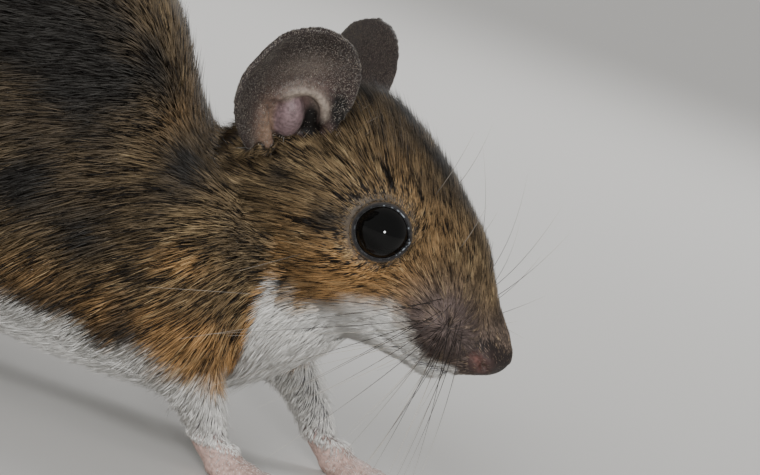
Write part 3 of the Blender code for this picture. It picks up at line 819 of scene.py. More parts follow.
def streaks(root, lie, side, across, seed):
    """Noise from -1 to 1 that runs in streaks along the hair."""
    patch = np.round(root / STREAK_PATCH)
    local = root - patch * STREAK_PATCH
    lines = np.stack([(local * lie).sum(1) / (STREAK_LENGTH * across), (local * side).sum(1) / across], 1)
    own = patch @ np.array((17.31, 5.17, 9.73))
    return noise(np.concatenate([lines, own[:, None]], 1), 1.0, seed)


def clumped(root, size):
    """For each root, the middle of the little lock that it belongs to, and a number that the lock shares."""
    cell = np.floor(root / size + 0.45 * noise(root, 1.7, 31)[:, None]).astype(np.int64)
    _, lock = np.unique(cell, axis=0, return_inverse=True)
    lock = lock.ravel()
    count = np.bincount(lock)
    centre = np.stack([np.bincount(lock, root[:, k]) for k in range(3)], 1) / count[:, None]
    return centre[lock], (lock * GOLDEN) % 1.0


def hair_shades(root, lie, side, wide, guard, lock_tone, mark, rng):
    """How light each hair is, from dark to buff, and how bright its band is, both in streaks."""
    band = streaks(root, lie, side, STREAK * wide, 43)
    streak = streaks(root, lie, side, STREAK * wide, 44)
    from_nose = -in_head(root)[:, 0]
    loose = np.interp(from_nose, LOOSENS, (0.2, 0.34))
    kind = loose * rng.random(len(root)) + 0.12 * lock_tone + (0.88 - loose) * (0.5 + 0.5 * band)
    kind = 0.5 + np.interp(from_nose, LOOSENS, (1.6, 1.2)) * (kind - 0.5)
    # Fewer buff hairs where the coat is slate, and fewer dark ones where it is ochre
    kind = np.where(kind > 0.5, 0.5 + (kind - 0.5) * (1 - 0.7 * mark[:, 2]), kind)
    warm = 0.55 * ramp(mark[:, 1], 0.5, 0.95) * (root[:, 0] < -19.0)
    kind = np.where(kind < 0.5, 0.5 + (kind - 0.5) * (1 - warm), kind)
    kind = np.where(guard, 0.1, np.clip(kind, 0, 1))
    stripe = np.interp(from_nose, LOOSENS, (0.52, 0.27)) * streak
    tone = 0.5 + 0.22 * noise(root, (2.4, 1.0, 1.0), 41) + stripe + rng.normal(0, 0.1, len(root))
    return kind, np.clip(tone, 0, 1)


def tufts(name, skin, chosen, weight, count, shape, bent, seed, gather=0.25):
    """Thin solid tufts rooted on the chosen triangles, lying with the coat.

    shape holds three functions of a tuft's place: its length, its half width, and how high its tip stands
    over the skin. A bent tuft has two lengths and hugs the body; a straight one is a single spike."""
    rng = np.random.default_rng(seed)
    root, normal, uv = skin.roots(chosen, weight, count, rng)
    length, wide, rise = (measure(root) for measure in shape)
    lie = lie_of_coat(root, normal)
    side = np.cross(lie, normal)
    swing = 0.13 * noise(root, 1.9, seed) + rng.normal(0, 0.09, count)
    lie = unit(lie * np.cos(swing)[:, None] + side * np.sin(swing)[:, None])
    side = np.cross(lie, normal)
    centre, lock_tone = clumped(root, LOCK)
    guard = rng.random(count) < GUARD_HAIRS
    size = np.where(guard, rng.uniform(1.15, 1.5, count), rng.uniform(0.7, 1.12, count))
    high = rise * (0.62 + 0.55 * rng.random(count)) * size
    tip = root + lie * (length * size)[:, None] + gather * (centre - root)
    half = wide * rng.uniform(0.75, 1.25, count) * np.where(guard, 0.75, 1.0)
    if bent:
        tip = over_skin(skin.tree, tip, high)
        swell = over_skin(skin.tree, root * 0.5 + tip * 0.5, high * 0.66)
        points, along, faces = [root - normal * 0.06], (0.0, 0.5, 0.5, 0.5, 1.0), SPINDLE
    else:
        tip = tip + normal * high[:, None]
        swell = root - normal * 0.05
        points, along, faces = [], (0.0, 0.0, 0.0, 1.0), SPIKE
        half = half * 1.5
    for way, share in ((side, -1.0), (side, 1.0), (normal, 0.9)):
        points.append(swell + way * (share * half)[:, None])
    verts = np.stack([*points, tip], 1)
    per = verts.shape[1]
    triangles = (np.array(faces)[None] + (np.arange(count) * per)[:, None, None]).reshape(-1, 3)
    mark = marks(root, normal)
    kind, tone = hair_shades(root, lie, side, wide, guard, lock_tone, mark, rng)
    made = mesh_of_triangles(name, verts.reshape(-1, 3), triangles)
    paint(made, "marks", np.repeat(mark, per, axis=0))
    paint(made, "hair", np.stack([np.tile(along, count), np.repeat(kind, per), np.repeat(tone, per)], 1))
    turns = np.arange(per) * TUFT_TURN
    uv = (uv[:, None] + np.stack([np.cos(turns), np.sin(turns)], 1) * TUFT_PATCH).reshape(-1, 2)
    layer = made.data.uv_layers.new(name="OFBake")
    layer.data.foreach_set("uv", uv[triangles.ravel()].astype(np.float32).ravel())
    return made


# ---------------- materials

BROWN = "#7d6a4e"
OCHRE = "#bd9360"
# The slate coat's colour, which also carries the painted shade in the marks' slate share
SLATE = "#373532"
MAUVE = "#6f615c"
DARK_HAIR = "#15110e"
BUFF_HAIR = "#b9a27a"
HAIR_ROOT = "#2e2a28"
WHITE_HAIR = "#efede8"
WHITE_ROOT = "#959597"
# How a hair's tone dims or lifts its band, and a white hair's whole length
BAND_TONES = (0.5, 1.45)
WHITE_TONES = (0.72, 1.08)
# How far the skin under the coat is darkened
SKIN_DARK = 0.6
# The colours of bare_parts, hollow_parts and face_parts, each in the order that they come in
BARE_COLOURS = {
    "bare": ("#211a18", "#2a2321", "#5d4a46", "#a98f86"),
    # The hollow's third colour is painted shade in the ear's opening
    "hollow": ("#8d8176", "#7b6453", "#0d0908", "#725f61"),
    # The face's third colour is painted shade in the mouth's crease and the nostrils
    "face": ("#47423d", "#1c1b1d", "#1d1614", "#6d4d47"),
}


def linear(code):
    """An sRGB hex value as linear red, green, blue and alpha."""
    parts = [int(code[i : i + 2], 16) / 255 for i in (1, 3, 5)]
    return (*[c / 12.92 if c <= 0.04045 else ((c + 0.055) / 1.055) ** 2.4 for c in parts], 1.0)


def material(name, **sockets):
    """A new material, with numbers and colours set on its shader's own sockets."""
    made = bpy.data.materials.new(name)
    made.use_nodes = True
    shader = made.node_tree.nodes["Principled BSDF"]
    for socket, value in sockets.items():
        shader.inputs[socket.replace("_", " ")].default_value = value
    return made, made.node_tree, shader


def add(tree, kind, inputs=(), **settings):
    """Adds a shader node. inputs pairs a socket's name or number with a value or another node's output."""
    made = tree.nodes.new(f"ShaderNode{kind}")
    for name, value in settings.items():
        setattr(made, name, value)
    for socket, value in inputs:
        if isinstance(value, bpy.types.NodeSocket):
            tree.links.new(value, made.inputs[socket])
        else:
            made.inputs[socket].default_value = value
    return made


def marked(tree):
    """The colour of a hair's band from the marks, and how white and how mauve it is."""
    parts = add(tree, "Attribute", attribute_name="marks")
    white, ochre, slate = add(tree, "SeparateColor", ((0, parts.outputs["Color"]),)).outputs
    colour = linear(BROWN)
    for share, over in ((ochre, OCHRE), (slate, SLATE), (parts.outputs["Alpha"], MAUVE)):
        inputs = ((0, share), (6, colour), (7, linear(over)))
        colour = add(tree, "Mix", inputs, data_type="RGBA").outputs[2]
    return colour, white, parts.outputs["Alpha"]


def agouti_fur():
    """Hair with a slate root, a brown or ochre band and a dark tip: the coat looks streaked, not flat."""
    made, tree, shader = material("agouti_fur", Roughness=0.55, Specular_IOR_Level=0.4)
    colour, white, mauve = marked(tree)
    hair = add(tree, "Attribute", attribute_name="hair")
    along, kind, tone = add(tree, "SeparateColor", ((0, hair.outputs["Color"]),)).outputs
    # How far a hair is dark or buff, and how near its place is to the tip or the root
    steps = []
    for value, low, high in ((kind, 0.38, 0.22), (kind, 0.72, 0.86), (along, 0.82, 1.0), (along, 0.5, 0.1)):
        inputs = (("Value", value), ("From Min", low), ("From Max", high))
        steps.append(add(tree, "MapRange", inputs, interpolation_type="SMOOTHSTEP").outputs[0])
    dark, buff, tip, root = steps
    lifts = []
    for value, (low, high) in ((tone, BAND_TONES), (mauve, (1.0, 0.35)), (tone, WHITE_TONES)):
        inputs = (("Value", value), ("To Min", low), ("To Max", high))
        lifts.append(add(tree, "MapRange", inputs).outputs[0])
    band_tone, soft, white_tone = lifts
    pale = add(tree, "Math", ((0, buff), (1, 0.6)), operation="MULTIPLY").outputs[0]
    tips = add(tree, "Math", ((0, tip), (1, 0.25)), operation="MULTIPLY").outputs[0]
    dusk = add(tree, "Math", ((0, tips), (1, dark)), operation="MAXIMUM").outputs[0]
    shares = []
    for share in (pale, dusk, root):
        softened = add(tree, "Math", ((0, share), (1, soft)), operation="MULTIPLY")
        shares.append(softened.outputs[0])
    pale, dusk, deep = shares
    snow = linear(WHITE_HAIR)
    for share, over, way in ((root, linear(WHITE_ROOT), "MIX"), (1.0, white_tone, "MULTIPLY")):
        inputs = ((0, share), (6, snow), (7, over))
        snow = add(tree, "Mix", inputs, data_type="RGBA", blend_type=way).outputs[2]
    for share, over, way in (
        (1.0, band_tone, "MULTIPLY"),
        (pale, linear(BUFF_HAIR), "MIX"),
        (dusk, linear(DARK_HAIR), "MIX"),
        (deep, linear(HAIR_ROOT), "MIX"),
        (white, snow, "MIX"),
    ):
        inputs = ((0, share), (6, colour), (7, over))
        colour = add(tree, "Mix", inputs, data_type="RGBA", blend_type=way).outputs[2]
    tree.links.new(colour, shader.inputs["Base Color"])
    return made


def mouse_skin():
    """Skin: dusky under brown hair and pale under white, and bare on the nose, lids, ears, paws and tail."""
    made, tree, shader = material("mouse_skin", Specular_IOR_Level=0.35)
    colour, white, _ = marked(tree)
    layers = [(SKIN_DARK, DARK_HAIR), (white, WHITE_ROOT)]
    # Some of these layers are painted shade: the ears' openings, the mouth's crease and the nostrils
    for title, colours in BARE_COLOURS.items():
        parts = add(tree, "Attribute", attribute_name=title)
        split = add(tree, "SeparateColor", ((0, parts.outputs["Color"]),))
        layers += zip((*split.outputs, parts.outputs["Alpha"]), colours)
    for share, over in layers:
        inputs = ((0, share), (6, colour), (7, linear(over)))
        colour = add(tree, "Mix", inputs, data_type="RGBA").outputs[2]
    # Pores 0.16 mm across, and a velvety mottle, in specks of 0.3 mm, that dims and lightens by a third
    place = add(tree, "TexCoord").outputs["Object"]
    mottle = add(tree, "TexNoise", (("Vector", place), ("Scale", 1 / 0.0003), ("Detail", 4.0)))
    inputs = (("Value", mottle.outputs[0]), ("From Min", 0.3), ("From Max", 0.7))
    lift = add(tree, "MapRange", (*inputs, ("To Min", 0.65), ("To Max", 1.35)))
    inputs = ((0, 1.0), (6, colour), (7, lift.outputs[0]))
    colour = add(tree, "Mix", inputs, data_type="RGBA", blend_type="MULTIPLY").outputs[2]
    pores = add(tree, "TexVoronoi", (("Vector", place), ("Scale", 1 / 0.00016)))
    inputs = (("Height", pores.outputs["Distance"]), ("Strength", 0.35), ("Distance", 0.00005))
    bump = add(tree, "Bump", inputs)
    gloss = add(tree, "MapRange", (("Value", mottle.outputs[0]), ("To Min", 0.35), ("To Max", 0.65)))
    tree.links.new(colour, shader.inputs["Base Color"])
    tree.links.new(bump.outputs[0], shader.inputs["Normal"])
    tree.links.new(gloss.outputs[0], shader.inputs["Roughness"])
    return made


def wet_eye():
    """The cornea over a nearly black iris, brown at its edge: a deep wet gloss."""
    made, tree, shader = material("wet_eye", Roughness=0.03, IOR=1.34)
    rim = add(tree, "Attribute", attribute_name="iris")
    inputs = ((0, rim.outputs["Fac"]), (6, linear("#040404")), (7, linear("#0b0908")))
    colour = add(tree, "Mix", inputs, data_type="RGBA").outputs[2]
    tree.links.new(colour, shader.inputs["Base Color"])
    return made


def lid_edge():
    """The lids' wet rim: nearly black, with pale specks about 0.4 mm apart: painted glints of caught light.
    """
    made, tree, shader = material("lid_edge", Roughness=0.48, Specular_IOR_Level=0.35)
    place = add(tree, "TexCoord").outputs["Object"]
    painted_glints = add(tree, "TexNoise", (("Vector", place), ("Scale", 1 / 0.0004), ("Detail", 4.0)))
    inputs = (("Value", painted_glints.outputs[0]), ("From Min", 0.5), ("From Max", 0.66))
    painted_glints = add(tree, "MapRange", inputs, interpolation_type="SMOOTHSTEP").outputs[0]
    glinting = add(tree, "Attribute", attribute_name="glinting")
    share = add(tree, "Math", ((0, painted_glints), (1, glinting.outputs["Fac"])), operation="MULTIPLY").outputs[0]
    inputs = ((0, share), (6, linear("#0b0a0b")), (7, linear("#8d949b")))
    colour = add(tree, "Mix", inputs, data_type="RGBA").outputs[2]
    tree.links.new(colour, shader.inputs["Base Color"])
    return made


def whisker_horn():
    """Whiskers: dark and stiff at the root, clear and pale towards the tip."""
    made, tree, shader = material("whisker_horn", Roughness=0.3)
    hair = add(tree, "Attribute", attribute_name="hair")
    along, kind, _ = add(tree, "SeparateColor", ((0, hair.outputs["Color"]),)).outputs
    inputs = (("Value", along), ("From Min", 0.5), ("From Max", 1.0))
    pale = add(tree, "MapRange", inputs, interpolation_type="SMOOTHSTEP").outputs[0]
    inputs = (("Value", along), ("From Min", 0.12), ("From Max", 0.4), ("To Max", kind))
    white = add(tree, "MapRange", inputs).outputs[0]
    share = add(tree, "Math", ((0, pale), (1, white)), operation="MAXIMUM").outputs[0]
    inputs = ((0, share), (6, linear("#1a1412")), (7, linear("#b5ada1")))
    colour = add(tree, "Mix", inputs, data_type="RGBA").outputs[2]
    tree.links.new(colour, shader.inputs["Base Color"])
    return made


def claw_horn():
    """Claws: thin translucent horn over a pink quick, with a soft shine."""
    made, _, shader = material("claw_horn", Roughness=0.3, Subsurface_Weight=0.2)
    shader.inputs["Base Color"].default_value = linear("#b49c8e")
    shader.inputs["Subsurface Radius"].default_value = (0.0006, 0.0003, 0.0002)
    return made


# ---------------- what the skin's places are


def bare_parts(u):
    """How far the skin is bare nose, an ear's thin edge, an ear's bowl, or paw and tail."""
    x, _, z = sides_of(u).T
    nose = ramp(x, -3.2, -2.0) * ramp(-z, -0.3, 0.6) * (1 - ramp(-z, 3.6, 4.6))
    edge, bowl = np.zeros((2, len(u)))
    for name, mirror in SIDES:
        e, near = in_ear(u, name, mirror), ear_share(u, name, mirror)
        deep = np.clip(1.4 * spot(e, (1.2, 0.9, 2.6), (3.4, 3.0, 3.4)), 0, 1)
        edge = np.maximum(edge, near)
        bowl = np.maximum(bowl, near * ramp(e[:, 1], -0.6, 0.2) * deep)
    paw = np.maximum(1 - ramp(u[:, 2], 2.6, 4.2), ramp(-u[:, 0], 79.0, 81.5))
    return np.stack([nose, edge, bowl, paw], 1)


# The pale fold's arc in an ear: its middle across and up, its radius and its width
FOLD_MIDDLE, FOLD_RADIUS, FOLD_WIDTH = (0.9, 3.3), 2.1, 0.52
EAR_WARM = ((1.0, (-1.7, 0.9, 2.2), (1.0, 1.6, 2.6)), (0.4, (-1.6, 1.2, -0.9), (1.0, 1.6, 1.2)))
# Painted shade: dark in the ear's opening and in the pocket under its curved front rim
EAR_SHADE = ((2.2, (2.3, 0.9, 1.8), (0.75, 1.6, 1.5)), (1.7, (4.2, 1.7, 3.6), (0.7, 1.8, 1.7)))


def hollow_parts(u):
    """How far an ear's skin is the pale fold, the warm skin behind it, painted shade in the opening, or the
    knob.
    """
    most = np.zeros((4, len(u)))
    for name, mirror in SIDES:
        e = in_ear(u, name, mirror)
        x, y, z = e.T
        across, up = x - FOLD_MIDDLE[0], z - FOLD_MIDDLE[1]
        turn = np.degrees(np.arctan2(up, across))
        fold = 1.2 * np.exp(-(((np.hypot(across, up) - FOLD_RADIUS) / FOLD_WIDTH) ** 2))
        fold *= ramp(turn, -30.0, 0.0) * (1 - ramp(turn, 105.0, 150.0))
        fold += 0.3 * spot(e, (1.0, 0.5, 7.6), (2.4, 2.0, 1.4))
        knob = 1 - ramp(((x - 0.4) / 1.35) ** 2 + ((z - 2.7) / 2.2) ** 2, 0.75, 1.15)
        inside = ear_share(u, name, mirror) * ramp(y, -0.4, 0.1)
        rows = np.stack([fold, spots(e, EAR_WARM), spots(e, EAR_SHADE), knob])
        most = np.maximum(most, inside * np.clip(rows, 0, 1))
    return most.T


def face_parts(u):
    """How far the skin is the grey ring round the lids, their dark edge, painted shade in creases, or a
    nostril.
    """
    side = sides_of(u)
    ahead = past_nape(u) > 0
    distance, off_axis, azimuth = round_eye(side)
    edge = lid_opening(azimuth)
    near = (distance < 3.6) * ahead
    rim = near * (1 - ramp(off_axis, edge + 2.5, edge + 6.0))
    ring = 0.75 * near * (1 - ramp(distance, 2.75, 3.2))
    # Painted shade: dark in the mouth's crease and in each nostril's dimple
    crease = 0.9 * groove(side, MOUTH, 0.3) * ramp(-side[:, 2], 4.2, 4.8)
    crease = np.maximum(crease, 1.4 * spot(side, NOSTRIL, (0.46, 0.4, 0.36)))
    flush = 0.5 * spot(side, NOSTRIL_TAIL, (0.9, 0.8, 0.5)) + 0.35 * spot(side, NOSTRIL, (1.0, 0.9, 0.9))
    return np.stack([ring, rim, np.clip(crease, 0, 1) * ahead, np.clip(flush, 0, 1) * ahead], 1)


def regions(u):
    """The skin's triangles in the patches that the coat's pieces grow from."""
    x, y, z = u.T
    head = past_nape(u) + 2.2 * noise(u, 1.3, 51) > 0
    face = head & (in_head(u)[:, 0] > -13.0)
    bare = is_ear(u) | (z < 2.7) | (x < TAIL_ROOT[0] - 1)
    rows = {
        "coat_face": face,
        "coat_cheeks": head & ~face,
        "coat_neck_left": ~head & (x > -31) & (y > 0),
        "coat_neck_right": ~head & (x > -31) & (y <= 0),
        "coat_shoulders": ~head & (x <= -31) & (x > -43),
        "coat_flanks": ~head & (x <= -43) & (x > -58),
        "coat_rump": ~head & (x <= -58),
    }
    return {name: np.flatnonzero(mask & ~bare) for name, mask in rows.items()}


def density(u):
    """Where hair may root: not on the eye or the lids' edge, and sparsely on nose, lips and ears' bowls."""
    side = sides_of(u)
    x, _, z = side.T
    distance, off_axis, azimuth = round_eye(side)
    edge = lid_opening(azimuth)
    from_lids = ramp(off_axis, edge + 4.0, edge + 9.0)
    clear = np.where(distance < 3.4, np.maximum(from_lids, ramp(distance, 2.66, 2.8)), 1.0)
    nose = ramp(x, -2.3, -1.5) * ramp(-z, 0.2, 0.9) * (1 - ramp(-z, 3.4, 4.2))
    lips = groove(side, MOUTH, 0.3) * ramp(-z, 4.2, 4.8)
    bare = 0.9 * ramp(bare_parts(u)[:, 2], 0.35, 0.95)
    for name, mirror in SIDES:
        bare = np.maximum(bare, 0.7 * spot(in_ear(u, name, mirror), (-2.3, 1.7, -0.6), (1.5, 2.0, 1.5)))
    return clear * (1 - 0.86 * nose) * (1 - 0.9 * lips) * (1 - bare) + 1e-9


def hair_length(u):
    """Longer where the coat is deeper, and short round the eyes, the nose and the ears' roots."""
    side = sides_of(u)
    by_eye = 0.38 + 0.8 * np.clip(away(side, EYE) - 2.7, 0, 9)
    by_nose = 0.3 + 0.28 * np.clip(-side[:, 0], 0, 20)
    by_ear = 0.75 + 0.4 * np.clip(away(side, EAR_ROOT) - 1.5, 0, 20)
    return np.minimum.reduce([0.5 + 1.85 * coat_depth(u), by_eye, by_nose, by_ear])


def hair_rise(u):
    """The tips stand at the coat's depth, and shaggier along the belly's side."""
    x, _, z = u.T
    belly = (1 - ramp(z, 6.5, 10.0)) * ramp(z, 3.6, 4.6) * ramp(-x, 21.0, 25.0)
    belly *= ramp(x, -42.0, -30.0)
    return 0.06 + 0.95 * coat_depth(u) + 0.4 * belly


def hair_width(u):
    return np.interp(-in_head(u)[:, 0], (2.0, 10.0, 24.0, 45.0, 70.0), (0.03, 0.035, 0.042, 0.05, 0.062))


def down_length(u):
    return np.where(is_ear(u), 0.19, 0.3)


def down_width(u):
    return np.full(len(u), 0.022)


def down_rise(u):
    return np.where(is_ear(u), 0.07, 0.1)


# ---------------- lids, whiskers and claws


def eyeball(name, mirror):
    """A ball of the eye's real depth, its iris a little browner round the edge."""
    eye = globe(name, from_head(on_side(EYE, mirror)), (EYE_RADIUS,) * 3, HEAD_TURN, 64)
    _, off_axis, _ = round_eye(sides_of(places(eye)[0]))
    paint(eye, "iris", np.repeat(ramp(off_axis, 40.0, EYE_OPENING)[:, None], 3, axis=1))
    eye.data.shade_smooth()
    return eye


def over_eye(off_axis, azimuth, height):
    """Places over the eyeball, from angles off its axis and round it, and the ways across it to them."""
    off_axis, azimuth = (np.radians(angle)[:, None] for angle in (off_axis, azimuth))
    spoke = np.cos(azimuth) * EYE_AHEAD + np.sin(azimuth) * EYE_ABOVE
    return (EYE_RADIUS + height) * (np.cos(off_axis) * EYE_OUT + np.sin(off_axis) * spoke), spoke


# The radius of the lids' wet roll, and the radii of the knob
LID_ROLL = 0.055
LID_KNOB = (0.26, 0.2, 0.26)


def lid_rims():
    """A thin wet roll along each eye's lids, and the little knob in the front corner."""
    pieces = []
    corner = np.array([EYE_CORNER])
    knob = over_eye(lid_opening(corner) - 3.0, corner, 0.05)[0][0] + np.array(EYE)
    for _, mirror in SIDES:
        bpy.ops.mesh.primitive_torus_add(
            major_segments=96, minor_segments=10, major_radius=1.0, minor_radius=LID_ROLL
        )
        ring = bpy.context.object
        x, y, z = read(ring.data.vertices, "co").astype(float).T
        around = np.degrees(np.arctan2(y, x))
        place, spoke = over_eye(lid_opening(around) + 0.5, around, 0.08)
        place += (np.hypot(x, y) - 1.0)[:, None] * spoke * 0.95 + z[:, None] * EYE_OUT
        move_to(ring, from_head(on_side(place + np.array(EYE), mirror)))
        # Painted glints, strongest before and above the eye
        glinting = 0.2 + 0.8 * ramp(np.cos(np.radians(around - 60)), 0.0, 0.5)
        paint(ring, "glinting", np.repeat(glinting[:, None], 3, axis=1))
        if mirror < 0:
            edit(ring, bpy.ops.mesh.flip_normals)
        bead = globe("knob", from_head(on_side(knob, mirror)), LID_KNOB, HEAD_TURN, 16)
        # The knob is painted with glints all over
        paint(bead, "glinting", np.ones((len(bead.data.vertices), 3)))
        pieces += [ring, bead]
    rims = joined("lid_rims", pieces)
    rims.data.shade_smooth()
    return rims


WHISKERS = (
    # root's x and z on the pad, the tip, the sag at the middle, and how pale it is, in the head's frame
    (-6.5, -0.4, -15, 17, 7, 0.6, 0),
    (-5.7, -0.2, -10, 16, 9, 0.5, 0),
    (-4.9, -0.1, -6, 13, 10, 0.4, 0),
    (-4.1, 0.1, -3.5, 9, 8.5, 0.3, 0),
    (-6.8, -1.2, -20, 18, 0, 1, 0),
    (-5.9, -1.1, -14, 20, 3, 0.9, 0),
    (-5, -1, -8, 17, 6, 0.6, 0),
    (-4.1, -0.9, -4, 12, 6, 0.4, 0),
    (-3.3, -0.8, -1.2, 8, 4, 0.2, 0),
    (-6.8, -2.1, -24, 15, -8, 1.4, 0),
    (-6.3, -2.7, -18.6, 12.2, -17, 1.5, 0),
    (-5.9, -2, -18, 18, -5, 1.2, 0),
    (-5, -1.9, -11, 17, -1, 0.8, 0),
    (-4.1, -1.8, -5, 13, 1.5, 0.4, 0),
    (-4.9, -1.3, 0.2, 6.2, 0.4, 0.1, 0),
    (-3.3, -1.7, -1.5, 8.5, 0.8, 0.2, 0),
    (-6.6, -3.1, -11, 8.8, -9, 0.5, 0),
    (-5.8, -3, -16, 15, -11, 1.2, 0.7),
    (-5.7, -3.5, -10, 8.6, -9.6, 0.6, 0),
    (-5.4, -3.7, -11, 10, -13, 0.9, 0.8),
    (-4.8, -2.8, -6, 14, -6, 0.6, 0.5),
    (-4.6, -2.4, -2.6, 5.6, -5.4, 0.1, 0),
    (-4, -2.7, -2.4, 7.5, -5.5, 0.3, 0),
    (-5.9, -4.2, -12.4, 9.4, -14.6, 0.9, 0.9),
    (-4.9, -4, -6.9, 9.6, -11.6, 0.6, 0.9),
    (-4.3, -4.2, -4.6, 7.6, -9.6, 0.4, 0.9),
    (-3.7, -4.2, -2.1, 6.3, -8.2, 0.3, 0.9),
    (-3.3, -3.9, -1.2, 5.8, -7, 0.2, 0.9),
    (-2.8, -3.2, -0.6, 5, -5.2, 0.2, 0.3),
    (-12.8, 4.6, -14.4, 5.8, 11.2, 0.2, 0.4),
    (-8.2, 3.4, -9, 4.2, 7, 0.1, 0.5),
    (-16.6, -4.6, -21.5, 11.5, -9.5, 0.4, 0.3),
)
# The right whiskers are swept down, clear of the eye
RIGHT_SWEEP = (4.0, -1.0, -17.0)
WHISKER_POINTS, WHISKER_SIDES = 12, 6
WHISKER_ROOT, WHISKER_TIP = 0.036, 0.007
# How far from the middle the pads of the whiskers are
PAD_ACROSS = 4.2


def whiskers(skin):
    """Every whisker as a tapering tube: it leaves the pad steeply, then bows back and down."""
    rng = np.random.default_rng(77)
    lines, shades = [], []
    along = np.linspace(0, 1, WHISKER_POINTS)
    thick = WHISKER_ROOT + (WHISKER_TIP - WHISKER_ROOT) * along**0.8
    a, b, c = (1 - along)[:, None] ** 2, (2 * along * (1 - along))[:, None], along[:, None] ** 2
    for _, mirror in SIDES:
        for x, z, *end, sag, pale in WHISKERS:
            tip = np.array(end) + rng.normal(0, 0.25 if mirror > 0 else 0.8, 3)
            if mirror < 0 and z < 1:
                tip += np.array(RIGHT_SWEEP) * ramp(tip[2], -14.0, -1.0)
            tip[1] *= mirror
            found, normal, _, _ = skin.tree.find_nearest(Vector(from_head((x, mirror * PAD_ACROSS, z))))
            root = in_head(np.array(found)[None])[0]
            out, ahead = np.array(normal) @ HEAD_AXES, unit(tip - root)
            steep = 1.0 if mirror > 0 else 0.45
            knee = root + unit(steep * out + 1.1 * ahead) * np.linalg.norm(tip - root) * 0.42
            knee[2] += sag * 0.8
            start = root - unit(out + ahead) * 0.25
            lines.append((from_head(start * a + knee * b + tip * c), thick))
            shade = np.stack([along, np.full(WHISKER_POINTS, pale), np.zeros(WHISKER_POINTS)], 1)
            shades.append(np.repeat(shade, WHISKER_SIDES, axis=0))
    made = tubes("whiskers", lines, WHISKER_SIDES)
    paint(made, "hair", np.concatenate(shades))
    return made


def toes():
    """Each clawed toe's start, the way it points and its length, in the body's frame."""
    for side, mirror in SIDES:
        heel = (HEEL[0], mirror * HEEL[1])
        for (x, y), turn, rows, height in (
            (WRISTS[side], FOREPAW_TURN[side], FORETOES, FORETOE_HEIGHT),
            (heel, mirror * HINDFOOT_TURN, HINDTOES, HINDTOE_HEIGHT),
        ):
            c, s = math.cos(math.radians(turn)), math.sin(math.radians(turn))
            for along, across, length, spread in rows:
                across *= mirror
                start = np.array((x + c * along - s * across, y + s * along + c * across, height))
                way = math.radians(turn + mirror * spread)
                yield start, np.array((math.cos(way), math.sin(way), 0.0)), length


# A claw's curve: how far ahead and up from its root each point is, and its radius there
CLAW = ((0, 0, 0.3), (0.45, 0.06, 0.27), (0.85, -0.1, 0.17), (1.15, -0.38, 0.04))
# How far before a toe's end a claw starts, and how far over its middle
CLAW_BACK, CLAW_OVER = 0.15, 0.12


def claws():
    """A curved claw on every toe: thick at its root, hooked down to a point just over the floor."""
    lines = []
    for start, ahead, length in toes():
        base = start + ahead * (length - CLAW_BACK) + np.array((0, 0, CLAW_OVER))
        points = [base + ahead * x + np.array((0, 0, z)) for x, z, _ in CLAW]
        lines.append((points, [radius for _, _, radius in CLAW]))
    return tubes("claws", lines)


# ---------------- building

# How many tufts each piece has, and whether they bend
COAT = {
    "coat_face": (47000, False),
    "coat_cheeks": (48000, False),
    "coat_neck_left": (26000, True),
    "coat_neck_right": (31000, True),
    "coat_shoulders": (31500, True),
    "coat_flanks": (31500, True),
    "coat_rump": (29000, True),
}
EAR_DOWN, PAW_DOWN, TAIL_DOWN = 34000, 6000, 5000


def dress(piece, cover, slot):
    """Gives a piece its material and its body. The slot is not used."""
    piece.data.materials.clear()
    piece.data.materials.append(cover)
    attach(piece, "root")


fur = agouti_fur()
skin = make_skin()
thin_under_coat(skin)
refine_face(skin)
shaped_face(skin)
skin.data.shade_smooth()
ground = Skin(skin)
paint(skin, "marks", marks(ground.u, ground.normals))
# The tail's upper side is dusky, and an ear's hollow shows on its front only
ear_front = 1 - ear_back(ground.u, ground.normals)
bare = bare_parts(ground.u)
bare[:, 3] *= 1 - 0.55 * tail_top(ground.u, ground.normals)
bare[:, 2] *= ear_front
paint(skin, "bare", bare)
paint(skin, "hollow", hollow_parts(ground.u) * ear_front[:, None])
paint(skin, "face", face_parts(ground.u))
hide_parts(*FLESH, *PAWS, *TAIL, *EARS)
dress(skin, mouse_skin(), "coat")

fewer = 1
rooting = density(ground.centre)
hair = (hair_length, hair_width, hair_rise)
for seed, (name, chosen) in enumerate(regions(ground.centre).items(), 1):
    count, bent = COAT[name]
    dress(tufts(name, ground, chosen, rooting, count // fewer, hair, bent, seed), fur, "coat")

x, _, z = ground.centre.T
paw = (z > 0.5) & (z < 3.0) & (x > TAIL_ROOT[0]) & (ground.face_normal[:, 2] > -0.3)
tail = (x < TAIL_ROOT[0] - 1) & (z > 0.25)
down = (down_length, down_width, down_rise)
for seed, (name, mask, count, slot) in enumerate(
    (
        ("ear_down", is_ear(ground.centre), EAR_DOWN, "ear_skin"),
        ("paw_down", paw, PAW_DOWN, "paw_skin"),
        ("tail_down", tail, TAIL_DOWN, "tail_skin"),
    ),
    21,
):
    chosen = np.flatnonzero(mask)
    dress(tufts(name, ground, chosen, rooting, count // fewer, down, False, seed, gather=0), fur, slot)

cornea = wet_eye()
for name, mirror in SIDES:
    ball = eyeball(f"eyeball_{name}", mirror)
    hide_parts(f"eye_{name}")
    dress(ball, cornea, "eye")
dress(lid_rims(), lid_edge(), "eye")
dress(whiskers(ground), whisker_horn(), "whisker")
dress(claws(), claw_horn(), "claw")


# ---------------- camera, floor and light

# In mm: what the camera looks at, from the right eye's middle, how far off it stands, and its lens
CAMERA_FROM_EYE = (0.07, 2.18, -0.8)
CAMERA_DISTANCE = 260.0
CAMERA_LENS = 150.25
CAMERA_ELEVATION = math.radians(7)
CAMERA_ROLL = math.radians(20)


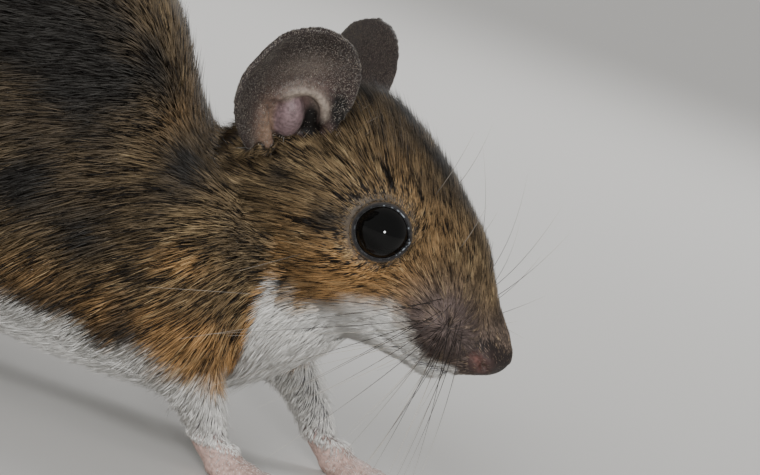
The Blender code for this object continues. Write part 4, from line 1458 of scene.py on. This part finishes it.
def aim_camera():
    """Looks at the head's right side from a little above it, rolled so that the floor falls away."""
    target = middle("eye_right") + Vector(CAMERA_FROM_EYE) * MM
    way = Vector((0.0, math.cos(CAMERA_ELEVATION), -math.sin(CAMERA_ELEVATION)))
    camera = new_object("camera", bpy.data.cameras.new("camera"))
    camera.data.sensor_width = 36.0
    camera.data.lens = CAMERA_LENS
    camera.data.clip_start = 0.005
    camera.data.clip_end = 100.0
    turn = way.to_track_quat("-Z", "Y").to_matrix() @ Matrix.Rotation(CAMERA_ROLL, 3, "Z")
    camera.matrix_world = Matrix.Translation(target - way * CAMERA_DISTANCE * MM) @ turn.to_4x4()
    bpy.context.scene.camera = camera
    return target


def light(name, kind, way, power, place=(0.0, 0.0, 0.0), glossy=True, **settings):
    """A light that shines along a way. Only a glossy one is mirrored in the eyes."""
    data = bpy.data.lights.new(name, kind)
    data.energy = power
    for setting, value in settings.items():
        setattr(data, setting, value)
    obj = new_object(name, data)
    aim = Vector(way).to_track_quat("-Z", "Y").to_matrix().to_4x4()
    obj.matrix_world = Matrix.Translation(Vector(place)) @ aim
    obj.visible_glossy = glossy


# Suns, even over the whole floor: the way that each shines, its power, how soft it is in degrees, and whether
# the eyes mirror it
SUNS = {
    "key": ((0.28, 0.95, -0.52), 1.75, 26.0, False),
    "fill": ((0.5, 0.8, -0.12), 0.7, 50.0, False),
    "camera_lamp": ((-0.24, 1.0, -0.14), 1.65, 8.0, True),
}
# The rim light's place from what the camera looks at, its power, and its size, in metres
RIM_PLACE, RIM_POWER, RIM_SIZE = (0.1, 0.55, 0.5), 2.5, 0.4
# The sky's colour and power, and the floor's colour, all linear
SKY, SKY_POWER = (1.0, 0.99, 0.97, 1.0), 0.38
PAPER = (0.62, 0.61, 0.59, 1.0)


def light_the_studio(target):
    """A soft key from above the camera's left, a low fill under it, a lamp by the camera and a rim light."""
    for name, (way, power, softness, glossy) in SUNS.items():
        light(name, "SUN", way, power, glossy=glossy, angle=math.radians(softness))
    place = target + Vector(RIM_PLACE)
    light("rim", "AREA", target - place, RIM_POWER, place, shape="DISK", size=RIM_SIZE)
    world = bpy.data.worlds.new("studio")
    world.use_nodes = True
    background = world.node_tree.nodes["Background"]
    background.inputs["Color"].default_value = SKY
    background.inputs["Strength"].default_value = SKY_POWER
    bpy.context.scene.world = world


def lay_floor():
    bpy.ops.mesh.primitive_plane_add(size=12.0)
    floor = bpy.context.object
    floor.name = "studio_floor"
    # Matt paper: dull and pale, so that nothing shows in it
    matt, _, _ = material("matt_paper", Base_Color=PAPER, Roughness=0.9)
    floor.data.materials.append(matt)


target = aim_camera()
light_the_studio(target)
lay_floor()
